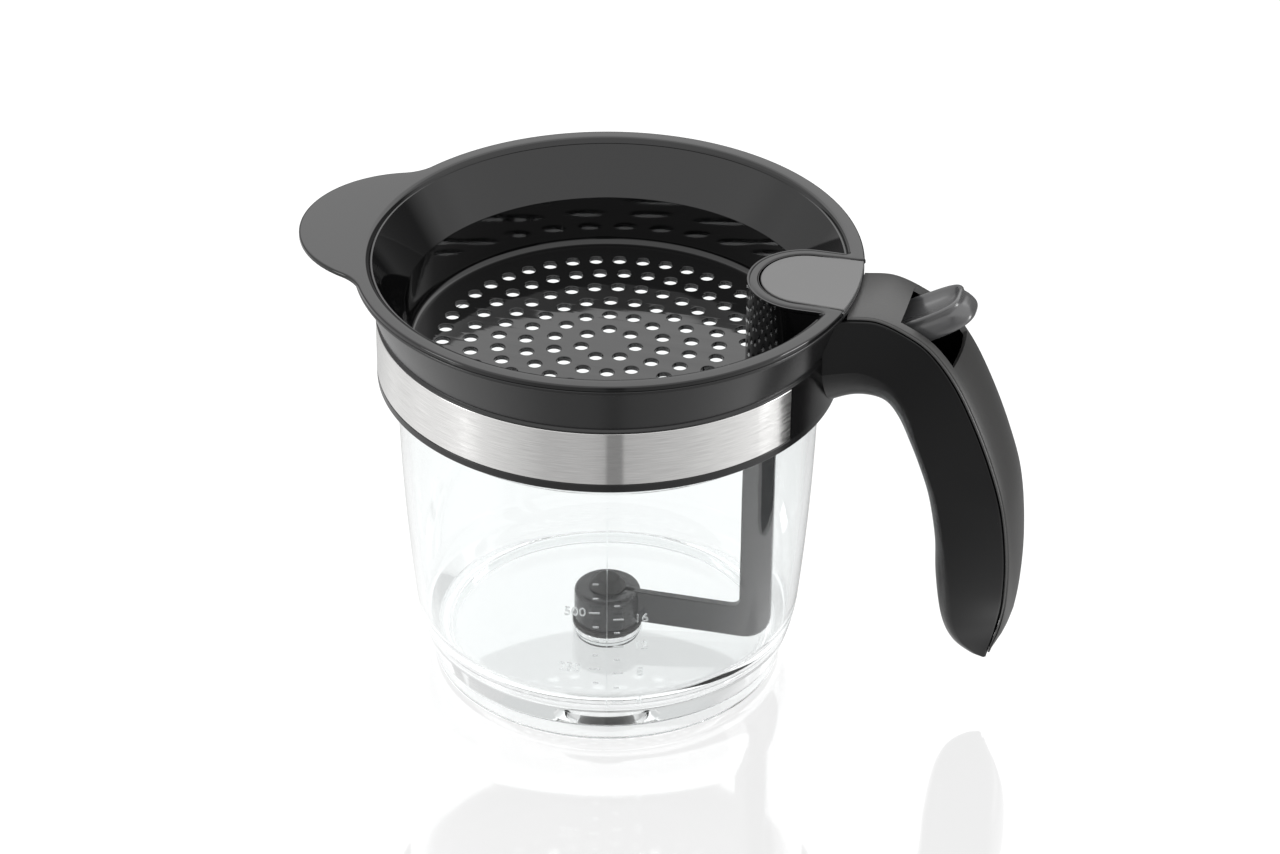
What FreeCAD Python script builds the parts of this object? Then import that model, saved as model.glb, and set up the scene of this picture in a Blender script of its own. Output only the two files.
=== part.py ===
"""Gravy fat separator: a clear jug with a drain in its floor, a steel-banded collar with a
sprung thumb lever in the handle that lifts the drain stopper, and a lift-off strainer funnel.

Frame: millimetres, +Z up, the handle along +X, origin on the jug's axis in the plane of the foot.
"""

import FreeCAD
import Part
import math
import os

import Sketcher

Vector = FreeCAD.Vector
Placement = FreeCAD.Placement
Rotation = FreeCAD.Rotation

doc = FreeCAD.newDocument("FatSeparator")

# ---------------------------------------------------------------- driving dimensions
SIZES = {
    # collar: its radius sets the jug's, the funnel's and the handle's
    "band_rad": (71.6, "outer radius of the steel band"),
    "band_tall": (17.9, "width of the steel band"),
    "band_thick": (0.8, "thickness of the steel band"),
    "band_gap_deg": (25.5, "half angle left open for the handle"),
    "band_edge": (2.8, "height of the collar's lip under the band"),
    "collar_wall": (2.9, "wall of the collar round the jug's rim"),
    "skirt_step": (0.6, "step in from the band to the skirt above it"),
    "skirt_flare": (5.3, "how far the skirt leans out to its flange"),
    "skirt_tall": (17.0, "height of the skirt from the band to the flange"),
    "flange_lip": (1.7, "overhang of the collar's flange"),
    "flange_thick": (1.4, "thickness of the collar's flange"),
    # clear jug
    "neck_high": (98.0, "height where the wall steps out into the rim"),
    "neck_step": (2.9, "step from the wall out to the jug's rim"),
    "wall_lean": (4.5, "how far the wall leans in from the neck to the bowl"),
    "bowl_high": (22.0, "height where the foot's flare ends"),
    "foot_flare": (5.6, "how far the flare goes in from the bowl to the foot"),
    "foot_wide": (2.6, "width of the foot ring's face"),
    "jug_wall": (2.4, "wall of the jug"),
    "jug_rim_tall": (16.5, "height of the jug's rim above the step"),
    "collar_rise": (4.5, "height of the collar's lip above the step"),
    "floor_high": (9.2, "top of the floor where it meets the wall's curve"),
    "drain_rad": (8.0, "radius of the drain"),
    "drain_lip": (1.8, "width of the drain's seat"),
    # strainer funnel
    "rim_over": (0.1, "overhang of the funnel's rim past the collar's flange"),
    "rim_gap": (0.3, "gap between the funnel's rim and the collar's flange"),
    "rim_land": (5.3, "width of the funnel's rim"),
    "rim_thick": (1.5, "thickness of the funnel's rim"),
    "cone_deep": (15.8, "depth of the funnel's cone"),
    "drum_gap": (2.0, "gap between the drum and the collar's shoulder"),
    "funnel_wall": (1.9, "wall of the funnel"),
    "plate_sink": (3.4, "depth of the perforated plate under the jug's rim"),
    "plate_thick": (1.6, "thickness of the perforated plate"),
    "hole_rad": (2.2, "radius of a strainer hole"),
    "hole_land": (11.08, "width from the outer ring of holes to the drum"),
    "tab_long": (19.3, "length of the funnel's tab past its rim"),
    "tab_round": (35.0, "radius of the tab's rounded tip"),
    "tab_half": (24.0, "half width of the tab where its rounded tip begins"),
    # mechanism housing
    "cap_half": (14.2, "half width of the mechanism cap"),
    "cap_back": (16.1, "distance in from the funnel's rim to the centre of the cap's round end"),
    "cap_gap": (0.6, "gap between the cap and the funnel"),
    "pocket_wall": (3.5, "wall of the funnel round the cap"),
    # handle
    "grip_half": (14.3, "half width of the handle"),
    "grip_wall": (2.6, "wall of the handle shell"),
    "grip_drop": (1.3, "drop of the handle's shoulder under the flange"),
    "grip_reach": (50.8, "distance from the flange to the handle's outer edge"),
    "grip_deep": (22.6, "depth of the handle from its outer to its inner edge"),
    "grip_tip": (14.6, "height of the handle's tip"),
    "cover_crown": (2.6, "height of the cover's crown over the shell's edge"),
    "slot_half": (11.2, "half width of the lever's slot"),
    # lever and lift rod
    "pivot_back": (38.8, "distance of the lever's pin in from the handle's outer edge"),
    "pivot_drop": (11.9, "distance of the lever's pin under the handle's shoulder"),
    "nose_back": (4.95, "distance of the lever's nose in from the cap's centre"),
    "nose_drop": (4.05, "drop of the nose below the pin at rest"),
    "nose_rad": (2.4, "radius of the lever's nose"),
    "pin_rad": (2.0, "radius of the lever's pin"),
    "lever_half": (9.2, "half width of the thumb pad"),
    "dish_rim": (2.7, "width of the rim round the thumb pad's dish"),
    "rod_thick": (3.0, "thickness of the lift rod's blade"),
    "rod_wide": (10.0, "width of the lift rod's blade"),
    "rod_back": (11.4, "distance of the blade's inner edge in from the cap's centre"),
    "rod_crank": (7.2, "step of the blade towards the axis below the collar"),
    "crank_drop": (11.5, "drop of that step's foot below the jug's neck, clear of the strainer"),
    "arm_lift": (0.4, "height of the lift rod's arm over the floor"),
    "arm_tall": (11.2, "height of the lift rod's arm"),
    "hub_rad": (10.6, "radius of the hub that holds the stopper"),
    "stem_rad": (4.2, "radius of the stopper's stem"),
    "fit_gap": (0.3, "gap between pieces that move past each other"),
}

sheet = doc.addObject("Spreadsheet::Sheet", "Dims")
for row, (alias, (value, note)) in enumerate(SIZES.items(), start=1):
    sheet.set("A%d" % row, alias)
    sheet.set("B%d" % row, "%g" % value)
    sheet.set("C%d" % row, note)
    sheet.setAlias("B%d" % row, alias)
doc.recompute()


class Q:
    """A length known both as a number and as an expression on the sheet."""

    def __init__(self, value, text=None):
        self.value = float(value)
        self.text = "%.6g" % float(value) if text is None else text

    @staticmethod
    def of(other):
        return other if isinstance(other, Q) else Q(other)

    def __add__(self, other):
        other = Q.of(other)
        return Q(self.value + other.value, "(%s + %s)" % (self.text, other.text))

    def __sub__(self, other):
        other = Q.of(other)
        return Q(self.value - other.value, "(%s - %s)" % (self.text, other.text))

    def __mul__(self, other):
        other = Q.of(other)
        return Q(self.value * other.value, "(%s * %s)" % (self.text, other.text))

    def __truediv__(self, other):
        other = Q.of(other)
        return Q(self.value / other.value, "(%s / %s)" % (self.text, other.text))

    def __neg__(self):
        return Q(-self.value, "(0 - %s)" % self.text)

    __radd__ = __add__
    __rmul__ = __mul__

    def __rsub__(self, other):
        return Q.of(other) - self


def size(alias):
    """The named cell of the sheet."""
    return Q(sheet.get(alias), "Dims." + alias)


def bind(thing, prop, amount):
    """Give a property its number and tie it to the sheet."""
    amount = Q.of(amount)
    setattr(thing, prop, amount.value)
    thing.setExpression(prop, amount.text)


def new_body(label):
    body = doc.addObject("PartDesign::Body", label)
    body.Label = label
    return body


def attach(sketch, body, role, lift=None):
    """Lay a sketch on one of its body's origin planes, lifted along the plane's normal."""
    plane = next(f for f in body.Origin.OriginFeatures if f.Role == role)
    sketch.AttachmentSupport = [(plane, "")]
    sketch.MapMode = "FlatFace"
    if lift is not None:
        lift = Q.of(lift)
        sketch.AttachmentOffset = Placement(Vector(0, 0, lift.value), Rotation())
        sketch.setExpression("AttachmentOffset.Base.z", lift.text)


def arc_of(start, end, radius, turn):
    """The minor arc from start to end; turn is +1 counter-clockwise, -1 clockwise."""
    a, b = Vector(*start, 0), Vector(*end, 0)
    chord = b - a
    half = chord.Length / 2
    rise = math.sqrt(max(radius * radius - half * half, 0.0))
    left = Vector(-chord.y, chord.x, 0).normalize()
    centre = (a + b) * 0.5 + left * rise * turn
    first, last = (a, b) if turn > 0 else (b, a)
    t0 = math.atan2(first.y - centre.y, first.x - centre.x)
    t1 = math.atan2(last.y - centre.y, last.x - centre.x)
    if t1 < t0:
        t1 += 2 * math.pi
    return Part.ArcOfCircle(Part.Circle(centre, Vector(0, 0, 1), radius), t0, t1)


def draw(sketch, corners):
    """Add one closed outline. A corner is (x, y) or (x, y, radius, turn), where radius and turn
    make the edge that leaves it an arc. Every corner and radius is tied to the sheet."""
    count = len(corners)
    spots = [(Q.of(c[0]), Q.of(c[1])) for c in corners]
    base = sketch.GeometryCount
    ends = []
    for i, corner in enumerate(corners):
        a = (spots[i][0].value, spots[i][1].value)
        b = (spots[(i + 1) % count][0].value, spots[(i + 1) % count][1].value)
        if len(corner) == 4:
            sketch.addGeometry(arc_of(a, b, Q.of(corner[2]).value, corner[3]), False)
            ends.append((1, 2) if corner[3] > 0 else (2, 1))
        else:
            sketch.addGeometry(Part.LineSegment(Vector(*a, 0), Vector(*b, 0)), False)
            ends.append((1, 2))
    for i in range(count):
        j = (i + 1) % count
        sketch.addConstraint(Sketcher.Constraint("Coincident", base + i, ends[i][1],
                                                 base + j, ends[j][0]))
    for i, (x, y) in enumerate(spots):
        point = (base + i, ends[i][0])
        for kind, amount, axis in (("DistanceX", x, -2), ("DistanceY", y, -1)):
            if abs(amount.value) < 1e-9:
                sketch.addConstraint(Sketcher.Constraint("PointOnObject", *point, axis))
            else:
                k = sketch.addConstraint(Sketcher.Constraint(kind, -1, 1, *point, amount.value))
                if "Dims" in amount.text:
                    sketch.setExpression("Constraints[%d]" % k, amount.text)
    for i, corner in enumerate(corners):
        if len(corner) == 4:
            radius = Q.of(corner[2])
            k = sketch.addConstraint(Sketcher.Constraint("Radius", base + i, radius.value))
            if "Dims" in radius.text:
                sketch.setExpression("Constraints[%d]" % k, radius.text)


def ring(sketch, x, y, radius):
    """Add one circle tied to the sheet."""
    x, y, radius = Q.of(x), Q.of(y), Q.of(radius)
    g = sketch.addGeometry(Part.Circle(Vector(x.value, y.value, 0), Vector(0, 0, 1),
                                       radius.value), False)
    for kind, amount, axis in (("DistanceX", x, -2), ("DistanceY", y, -1)):
        if abs(amount.value) < 1e-9:
            sketch.addConstraint(Sketcher.Constraint("PointOnObject", g, 3, axis))
        else:
            k = sketch.addConstraint(Sketcher.Constraint(kind, -1, 1, g, 3, amount.value))
            if "Dims" in amount.text:
                sketch.setExpression("Constraints[%d]" % k, amount.text)
    k = sketch.addConstraint(Sketcher.Constraint("Radius", g, radius.value))
    if "Dims" in radius.text:
        sketch.setExpression("Constraints[%d]" % k, radius.text)


def sketch_on(body, name, role, outlines, lift=None, circles=()):
    sketch = body.newObject("Sketcher::SketchObject", name)
    attach(sketch, body, role, lift)
    for outline in outlines:
        draw(sketch, outline)
    for circle in circles:
        ring(sketch, *circle)
    doc.recompute()
    return sketch


def turn(body, name, outline, kind="Revolution", degrees=None):
    """Revolve a profile (radius, height) about Z, or groove with it. degrees makes a partial
    turn centred on the profile's own plane."""
    sketch = sketch_on(body, name + "Profile", "XZ_Plane", [outline])
    feature = body.newObject("PartDesign::" + kind, name)
    feature.Profile = sketch
    feature.ReferenceAxis = (sketch, ["V_Axis"])
    if degrees is None:
        feature.Angle = 360
    else:
        feature.Midplane = True
        bind(feature, "Angle", degrees)
    doc.recompute()
    return feature


def push(body, name, sketch, depth, kind="Pad", middle=False, back=False):
    """Pad or pocket a sketch by a depth, one way or evenly both ways."""
    feature = body.newObject("PartDesign::" + kind, name)
    feature.Profile = sketch
    feature.SideType = "Symmetric" if middle else "One side"
    feature.Reversed = back
    bind(feature, "Length", depth)
    doc.recompute()
    return feature


def block(body, name, low, high, kind="Pocket", role="XZ_Plane"):
    """Cut or add a box from its low and high corners in (X, Z), as wide as given in Y both ways."""
    (x0, z0), (x1, z1), half = low, high[:2], high[2]
    sketch = sketch_on(body, name + "Outline", role, [[(x0, z0), (x1, z0), (x1, z1), (x0, z1)]])
    return push(body, name, sketch, 2 * Q.of(half), kind, middle=True)


# ---------------------------------------------------------------- clear jug
band_rad, band_thick = size("band_rad"), size("band_thick")
neck_high, wall = size("neck_high"), size("jug_wall")
rim_rad = band_rad - size("collar_wall") - size("fit_gap")
rim_high = neck_high + size("jug_rim_tall")
neck_rad = rim_rad - size("neck_step")
bowl_rad, bowl_high = neck_rad - size("wall_lean"), size("bowl_high")
foot_rad = bowl_rad - size("foot_flare")
floor_high, drain_rad, drain_lip = size("floor_high"), size("drain_rad"), size("drain_lip")

jug = new_body("jug_body")
turn(jug, "JugWall", [
    (foot_rad, 0),
    (foot_rad + 0.6, 4.5, 62, 1),
    (bowl_rad, bowl_high, 850, 1),
    (neck_rad, neck_high),
    (rim_rad, neck_high + 3.2),
    (rim_rad, rim_high),
    (rim_rad - 2.2, rim_high),
    (rim_rad - 2.2, neck_high + 4.6),
    (neck_rad - wall, neck_high + 1.0, 848, -1),
    (bowl_rad - wall + 0.1, bowl_high + 0.6, 15.2, -1),
    (foot_rad - 11.0, floor_high),
    (drain_rad + drain_lip, floor_high - 2.0),
    (drain_rad, floor_high - 4.0),
    (drain_rad, 1.6),
    (drain_rad + 2.4, 1.6),
    (drain_rad + 2.4, floor_high - 5.0),
    (foot_rad - size("foot_wide") - 0.5, floor_high - 3.8),
    (foot_rad - size("foot_wide"), 0),
])

# ---------------------------------------------------------------- collar and handle shell
lip_low = neck_high + size("collar_rise")
band_low = lip_low + size("band_edge")
band_high = band_low + size("band_tall")
skirt_low = band_rad - size("skirt_step")
skirt_top = skirt_low + size("skirt_flare")
flange_low, flange_rad = band_high + size("skirt_tall"), skirt_top + size("flange_lip")
flange_high = flange_low + size("flange_thick")
grip_half, grip_wall = size("grip_half"), size("grip_wall")
grip_top, grip_out = flange_low - size("grip_drop"), flange_rad + size("grip_reach")
grip_in = grip_out - size("grip_deep")
grip_tip, crown = size("grip_tip"), size("cover_crown")
pivot = (grip_out - size("pivot_back"), grip_top - size("pivot_drop"))
pin_rad = size("pin_rad")

# the handle's outer edge from shoulder to tip: (point, outward normal, share of the crown)
EDGE = [
    ((flange_rad - 0.6, grip_top), (0.0, 1.0), 0.40),
    ((grip_out - 40.8, grip_top + 0.1), (0.10, 0.995), 0.44),
    ((grip_out - 20.8, grip_top - 13.8), (0.76, 0.65), 0.70),
    ((grip_out - 2.0, grip_top - 59.8), (0.985, 0.17), 0.96),
    ((grip_out, grip_tip + 29.7), (0.995, -0.10), 1.0),
    ((grip_out - 2.6, grip_tip + 13.0), (0.975, -0.22), 0.70),
    ((grip_out - 5.2, grip_tip + 0.6), (0.97, -0.25), 0.25),
]
# the radius of the arc between each two of those points
EDGE_ARCS = [400.0, 39.4, 150.0, 158.0, 95.0, 60.0]


def edge_point(index, offset):
    (x, z), (nx, nz), _share = EDGE[index]
    return x + nx * Q.of(offset), z + nz * Q.of(offset)


def crown_point(index, extra=0.0):
    return edge_point(index, crown * EDGE[index][2] + extra)


def edge_run(point, backward=False):
    """The chain of arcs along the outer edge, tip to shoulder, or shoulder to tip if backward."""
    order = range(len(EDGE)) if backward else range(len(EDGE) - 1, -1, -1)
    corners = []
    for index in order:
        x, z = point(index)
        arc = index if backward else index - 1
        if 0 <= arc < len(EDGE_ARCS):
            corners.append((x, z, EDGE_ARCS[arc], -1 if backward else 1))
        else:
            corners.append((x, z))
    return corners


# the width of the handle seen from behind, as half widths by height
def taper(margin, reach):
    """The outline to cut away beside the handle, on its +Y side."""
    side = grip_half - margin
    low = grip_tip
    return [
        (side + 0.02, low + 62.0, 190, -1),
        (side - 4.0, low + 33.0, 60, -1),
        (side - 10.0, low + 11.0),
        (side - 12.6, low - 4.0),
        (side + reach, low - 4.0),
        (side + reach, low + 62.0),
    ]


def mirrored(outline):
    return [(-Q.of(c[0]), *c[1:2], *( (c[2], -c[3]) if len(c) == 4 else ())) for c in outline]


frame = new_body("handle_frame")
turn(frame, "CollarRing", [
    (rim_rad + 0.3, lip_low),
    (band_rad, lip_low),
    (band_rad, band_high + 0.4),
    (skirt_low, band_high + 1.1),
    (skirt_top, flange_low),
    (flange_rad, flange_low),
    (flange_rad, flange_high),
    (flange_rad - 3.2, flange_high),
    (flange_rad - 3.2, flange_low),
    (rim_rad - 0.6, rim_high + 6.5),
    (rim_rad - 2.0, rim_high + 3.5),
    (rim_rad - 2.0, rim_high + 0.3),
    (rim_rad + 0.3, rim_high + 0.3),
])
shell_sketch = sketch_on(frame, "GripOutline", "XZ_Plane", [[
    (band_rad - 1.6, lip_low + 0.4, 28, -1),
    (grip_in - 22.3, lip_low + 5.4, 12.6, -1),
    (grip_in - 11.4, lip_low - 4.4, 109, -1),
    (grip_in - 1.0, grip_tip + 48.4),
    (grip_in + 0.3, grip_tip + 26.1, 41, 1),
    (grip_in + 6.0, grip_tip + 8.1, 14.9, 1),
    (grip_in + 15.9, grip_tip),
] + edge_run(lambda i: edge_point(i, 0.0)) + [(band_rad - 1.6, grip_top)]])
push(frame, "Grip", shell_sketch, 2 * grip_half, middle=True)
# clear the bore of the collar again where the grip runs into it
turn(frame, "CollarBore", [
    (rim_rad - 8.4, rim_high + 6.5),
    (rim_rad - 0.6, rim_high + 6.5),
    (flange_rad - 3.2, flange_low),
    (flange_rad - 3.2, flange_high + 2),
    (rim_rad - 8.4, flange_high + 2),
], "Groove")
for side, outline in (("Left", taper(0.0, 20.0)), ("Right", mirrored(taper(0.0, 20.0)))):
    sketch = sketch_on(frame, "Taper%sOutline" % side, "YZ_Plane", [outline], lift=grip_in - 16.2)
    push(frame, "Taper" + side, sketch, 60, "Pocket", back=True)
# recess for the steel band, open all the way round but for the handle's root
turn(frame, "BandSeat", [
    (-(band_rad - band_thick - 0.1), band_low),
    (-(band_rad + 1.0), band_low),
    (-(band_rad + 1.0), band_high),
    (-(band_rad - band_thick - 0.1), band_high),
], "Groove", degrees=360 - 2 * size("band_gap_deg"))
# hollow of the handle, open to the back, in two widths
hollow = sketch_on(frame, "HollowOutline", "XZ_Plane", [[
    (flange_rad + 2.0, lip_low + 8.3),
    (grip_in - 21.0, lip_low + 8.1, 13.5, -1),
    (grip_in - 8.6, lip_low - 3.0, 109, -1),
    (grip_in - 1.3, lip_low - 24.4),
    (grip_out + 12, lip_low - 24.4),
    (grip_out + 12, grip_top + 8),
    (flange_rad + 2.0, grip_top + 8),
]])
push(frame, "Hollow", hollow, 2 * (grip_half - grip_wall), "Pocket", middle=True)
low_hollow = sketch_on(frame, "LowHollowOutline", "XZ_Plane", [[
    (grip_in - 2.7, lip_low - 19.0),
    (grip_in + 1.8, grip_tip + 48.4),
    (grip_in + 3.1, grip_tip + 30.0),
    (grip_out + 12, grip_tip + 30.0),
    (grip_out + 12, lip_low - 19.0),
]])
push(frame, "LowHollow", low_hollow, 2 * (grip_half - grip_wall - 4.4), "Pocket", middle=True)
# window through the collar for the lever's arm
block(frame, "ArmWindow", (rim_rad - 8.4, rim_high + 3.6),
      (flange_rad + 3.0, flange_low - 1.2, 7.0))
# bosses for the pin, and its blind bore
boss = sketch_on(frame, "BossOutline", "XZ_Plane", [], circles=[(*pivot, pin_rad + 2.6)])
push(frame, "Bosses", boss, 2 * (grip_half - grip_wall + 0.1), middle=True)
gap = sketch_on(frame, "BossGapOutline", "XZ_Plane", [], circles=[(*pivot, pin_rad + 5.2)])
push(frame, "BossGap", gap, 2 * (grip_half - grip_wall - 1.4), "Pocket", middle=True)
bore = sketch_on(frame, "PinBoreOutline", "XZ_Plane", [], circles=[(*pivot, pin_rad + 0.03)])
push(frame, "PinBore", bore, 2 * (grip_half - 1.2), "Pocket", middle=True)

# ---------------------------------------------------------------- steel band
band = new_body("collar_band")
turn(band, "Band", [
    (-(band_rad - band_thick), band_low + 0.1),
    (-band_rad, band_low + 0.1),
    (-band_rad, band_high - 0.1),
    (-(band_rad - band_thick), band_high - 0.1),
], degrees=359.4 - 2 * size("band_gap_deg"))

# ---------------------------------------------------------------- handle cover
cover = new_body("handle_cover")
skin = sketch_on(cover, "SkinOutline", "XZ_Plane", [
    edge_run(lambda i: edge_point(i, 0.12), backward=True)
    + edge_run(crown_point)
])
push(cover, "Skin", skin, 2 * (grip_half - 0.1), middle=True)
for side, outline in (("Left", taper(0.1, 20.0)), ("Right", mirrored(taper(0.1, 20.0)))):
    sketch = sketch_on(cover, "Taper%sOutline" % side, "YZ_Plane", [outline], lift=grip_in - 16.2)
    push(cover, "Taper" + side, sketch, 60, "Pocket", back=True)
inner = sketch_on(cover, "LiningOutline", "XZ_Plane", [[
    (flange_rad + 2.4, grip_top - 1.5, 400, -1),
    (*edge_point(1, -1.6), 38, -1),
    (*edge_point(2, -1.6), 190, -1),
    (*edge_point(3, -1.6),),
    (*edge_point(3, 0.5), 190, 1),
    (*edge_point(2, 0.5), 39.4, 1),
    (*edge_point(1, 0.5), 400, 1),
    (flange_rad + 2.4, grip_top + 0.5),
]])
push(cover, "Lining", inner, 2 * (grip_half - grip_wall - 0.25), middle=True)
block(cover, "LeverSlot", (pivot[0] + 2.3, grip_top - 32), (pivot[0] + 19.6, grip_top + 12,
                                                           size("slot_half")))

# ---------------------------------------------------------------- pin
pin = new_body("lever_pin")
pin_sketch = sketch_on(pin, "PinOutline", "XZ_Plane", [], circles=[(*pivot, pin_rad)])
push(pin, "Pin", pin_sketch, 2 * (grip_half - 1.3), middle=True)

# ---------------------------------------------------------------- mechanism cap and rod guide
cap_half, cap_gap = size("cap_half"), size("cap_gap")
rim_thick = size("rim_thick")
top_high, top_rad = flange_high + size("rim_gap") + rim_thick, flange_rad + size("rim_over")
cap_centre = top_rad - size("cap_back")


def horseshoe(half, out, flare=0.0):
    """A U outline round the cap's centre: a round inner end and straight sides out to a radius."""
    return [
        (out, -half - flare),
        (out, half + flare),
        (cap_centre, half, half, 1),
        (cap_centre - half, 0, half, 1),
        (cap_centre, -half),
    ]


cap = new_body("mechanism_cap")
lid = sketch_on(cap, "LidOutline", "XY_Plane", [[
    (top_rad - 1.8, -cap_half - 0.8, top_rad - 0.3, 1),
    (top_rad - 1.8, cap_half + 0.8),
    (cap_centre, cap_half, cap_half, 1),
    (cap_centre - cap_half, 0, cap_half, 1),
    (cap_centre, -cap_half),
]], lift=flange_high + 0.1)
push(cap, "Lid", lid, top_high - flange_high - 0.1)
walls = sketch_on(cap, "WallOutline", "XY_Plane", [[
    (rim_rad - 3.8, -(cap_half - 0.4)),
    (rim_rad - 3.8, -(cap_half - 2.2)),
    (cap_centre, -(cap_half - 2.2), cap_half - 2.2, -1),
    (cap_centre - (cap_half - 2.2), 0, cap_half - 2.2, -1),
    (cap_centre, cap_half - 2.2),
    (rim_rad - 3.8, cap_half - 2.2),
    (rim_rad - 3.8, cap_half - 0.4),
    (cap_centre, cap_half - 0.4, cap_half - 0.4, 1),
    (cap_centre - (cap_half - 0.4), 0, cap_half - 0.4, 1),
    (cap_centre, -(cap_half - 0.4)),
]], lift=rim_high + 2.5)
push(cap, "Walls", walls, flange_high + 0.2 - rim_high - 2.5)

rod_out, rod_wide, rod_thick = cap_centre - size("rod_back"), size("rod_wide"), size("rod_thick")
fit = size("fit_gap")
guide = new_body("rod_guide")
plate = sketch_on(guide, "GuideOutline", "XY_Plane", [[
    (rim_rad - 3.55, -(cap_half - 0.4), rim_rad - 2.1, 1),
    (rim_rad - 3.55, cap_half - 0.4),
    (cap_centre, cap_half - 0.4, cap_half - 0.4, 1),
    (cap_centre - (cap_half - 0.4), 0, cap_half - 0.4, 1),
    (cap_centre, -(cap_half - 0.4)),
]], lift=rim_high + 0.4)
push(guide, "Plate", plate, 2.0)
notch = sketch_on(guide, "NotchOutline", "XY_Plane", [[
    (rod_out - 4, -(rod_thick / 2 + fit)),
    (rod_out + rod_wide + fit, -(rod_thick / 2 + fit)),
    (rod_out + rod_wide + fit, rod_thick / 2 + fit),
    (rod_out - 4, rod_thick / 2 + fit),
]], lift=rim_high - 1)
push(guide, "Notch", notch, 6, "Pocket", back=True)

# ---------------------------------------------------------------- thumb lever
lever = new_body("thumb_lever")
px, pz = pivot
nose = (cap_centre - size("nose_back"), pz - size("nose_drop"))
lever_half, nose_rad = size("lever_half"), size("nose_rad")
dish_rim = size("dish_rim")
pad = sketch_on(lever, "PadOutline", "XZ_Plane", [[
    (px - 4.6, pz + 3.0, 5.5, -1),
    (px + 1.6, pz + 5.3),
    (px + 3.6, pz + 9.6),
    (px + 16.4, pz + 16.9),
    (px + 18.0, pz + 17.9, 2.6, -1),
    (px + 20.8, pz + 17.0),
    (px + 24.2, pz + 13.6, 2.4, -1),
    (px + 23.6, pz + 11.0),
    (px + 18.4, pz + 8.2),
    (px + 10.5, pz + 3.4),
    (px + 3.8, pz - 4.0, 5.5, -1),
    (px - 4.2, pz - 3.6),
]])
push(lever, "Pad", pad, 2 * lever_half, middle=True)
dish = sketch_on(lever, "DishOutline", "XZ_Plane", [[
    (px + 1.0, pz + 12.6),
    (px + 4.8, pz + 7.9),
    (px + 15.0, pz + 13.8, 4.0, 1),
    (px + 17.4, pz + 16.8),
    (px + 17.0, pz + 21.0),
]])
push(lever, "Dish", dish, 2 * (lever_half - dish_rim), "Pocket", middle=True)
arm = sketch_on(lever, "ArmOutline", "XZ_Plane", [[
    (px - 3.0, pz + 4.6),
    (px - 9.0, pz + 3.6),
    (nose[0] + 4.0, nose[1] + nose_rad),
    (nose[0], nose[1] + nose_rad, nose_rad, 1),
    (nose[0] - nose_rad, nose[1], nose_rad, 1),
    (nose[0], nose[1] - nose_rad),
    (nose[0] + 4.0, nose[1] - nose_rad),
    (px - 9.0, pz - 5.0),
    (px - 2.0, pz - 5.0),
]])
push(lever, "Arm", arm, 10.0, middle=True)
eye = sketch_on(lever, "EyeOutline", "XZ_Plane", [], circles=[(*pivot, pin_rad + 0.06)])
push(lever, "Eye", eye, 4 * lever_half, "Pocket", middle=True)

# ---------------------------------------------------------------- lift rod and stopper
arm_low, arm_tall = floor_high + size("arm_lift"), size("arm_tall")
hub_rad, stem_rad = size("hub_rad"), size("stem_rad")
crank, crank_drop = size("rod_crank"), size("crank_drop")
rod = new_body("lift_rod")
head_low = rim_high + 2.9
blade = sketch_on(rod, "BladeOutline", "XZ_Plane", [[
    (5.0, arm_low),
    (rod_out - crank + rod_wide - 9, arm_low, 9, 1),
    (rod_out - crank + rod_wide, arm_low + 9),
    (rod_out - crank + rod_wide, neck_high - crank_drop),
    (rod_out + rod_wide, neck_high - crank_drop + 10),
    (rod_out + rod_wide, head_low + 1.0),
    (rod_out, head_low + 1.0),
    (rod_out, neck_high - crank_drop + 8),
    (rod_out - crank, neck_high - crank_drop - 2),
    (rod_out - crank, arm_low + arm_tall + 3.0, 3, -1),
    (rod_out - crank - 3.0, arm_low + arm_tall),
    (5.0, arm_low + arm_tall),
]])
push(rod, "Blade", blade, rod_thick, middle=True)
head = sketch_on(rod, "HeadOutline", "XZ_Plane", [[
    (rod_out + 1.6, head_low),
    (rod_out + rod_wide, head_low),
    (rod_out + rod_wide, nose[1] - nose_rad - fit - 1.1),
    (nose[0] - 0.8, nose[1] - nose_rad - fit),
    (nose[0] - nose_rad - 0.8, nose[1] - nose_rad - fit),
    (nose[0] - nose_rad - 0.8, nose[1] + nose_rad + fit),
    (rod_out + rod_wide, nose[1] + nose_rad + fit),
    (rod_out + rod_wide, nose[1] + nose_rad + 3.0),
    (rod_out + 1.6, nose[1] + nose_rad + 3.0),
]])
push(rod, "Head", head, 10.8, middle=True)
hub = sketch_on(rod, "HubOutline", "XY_Plane", [], lift=arm_low, circles=[(0, 0, hub_rad)])
push(rod, "Hub", hub, arm_tall)
hub_bore = sketch_on(rod, "HubBoreOutline", "XY_Plane", [], lift=arm_low - 1,
                     circles=[(0, 0, stem_rad + 0.1)])
push(rod, "HubBore", hub_bore, arm_tall + 2, "Pocket", back=True)

plug = new_body("stopper_plug")
seat_high = floor_high - 2.0
turn(plug, "Plug", [
    (0, seat_high - 2.6),
    (drain_rad - 0.9, seat_high - 2.6),
    (drain_rad + drain_lip - 0.3, seat_high + 0.3),
    (drain_rad + drain_lip + 1.4, seat_high + 0.5),
    (drain_rad + drain_lip + 1.4, arm_low - 0.1),
    (stem_rad, arm_low - 0.1),
    (stem_rad, arm_low + arm_tall + 0.1),
    (stem_rad + 2.0, arm_low + arm_tall + 0.1),
    (stem_rad - 0.6, arm_low + arm_tall + 3.6),
    (0, arm_low + arm_tall + 3.6),
])

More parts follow.
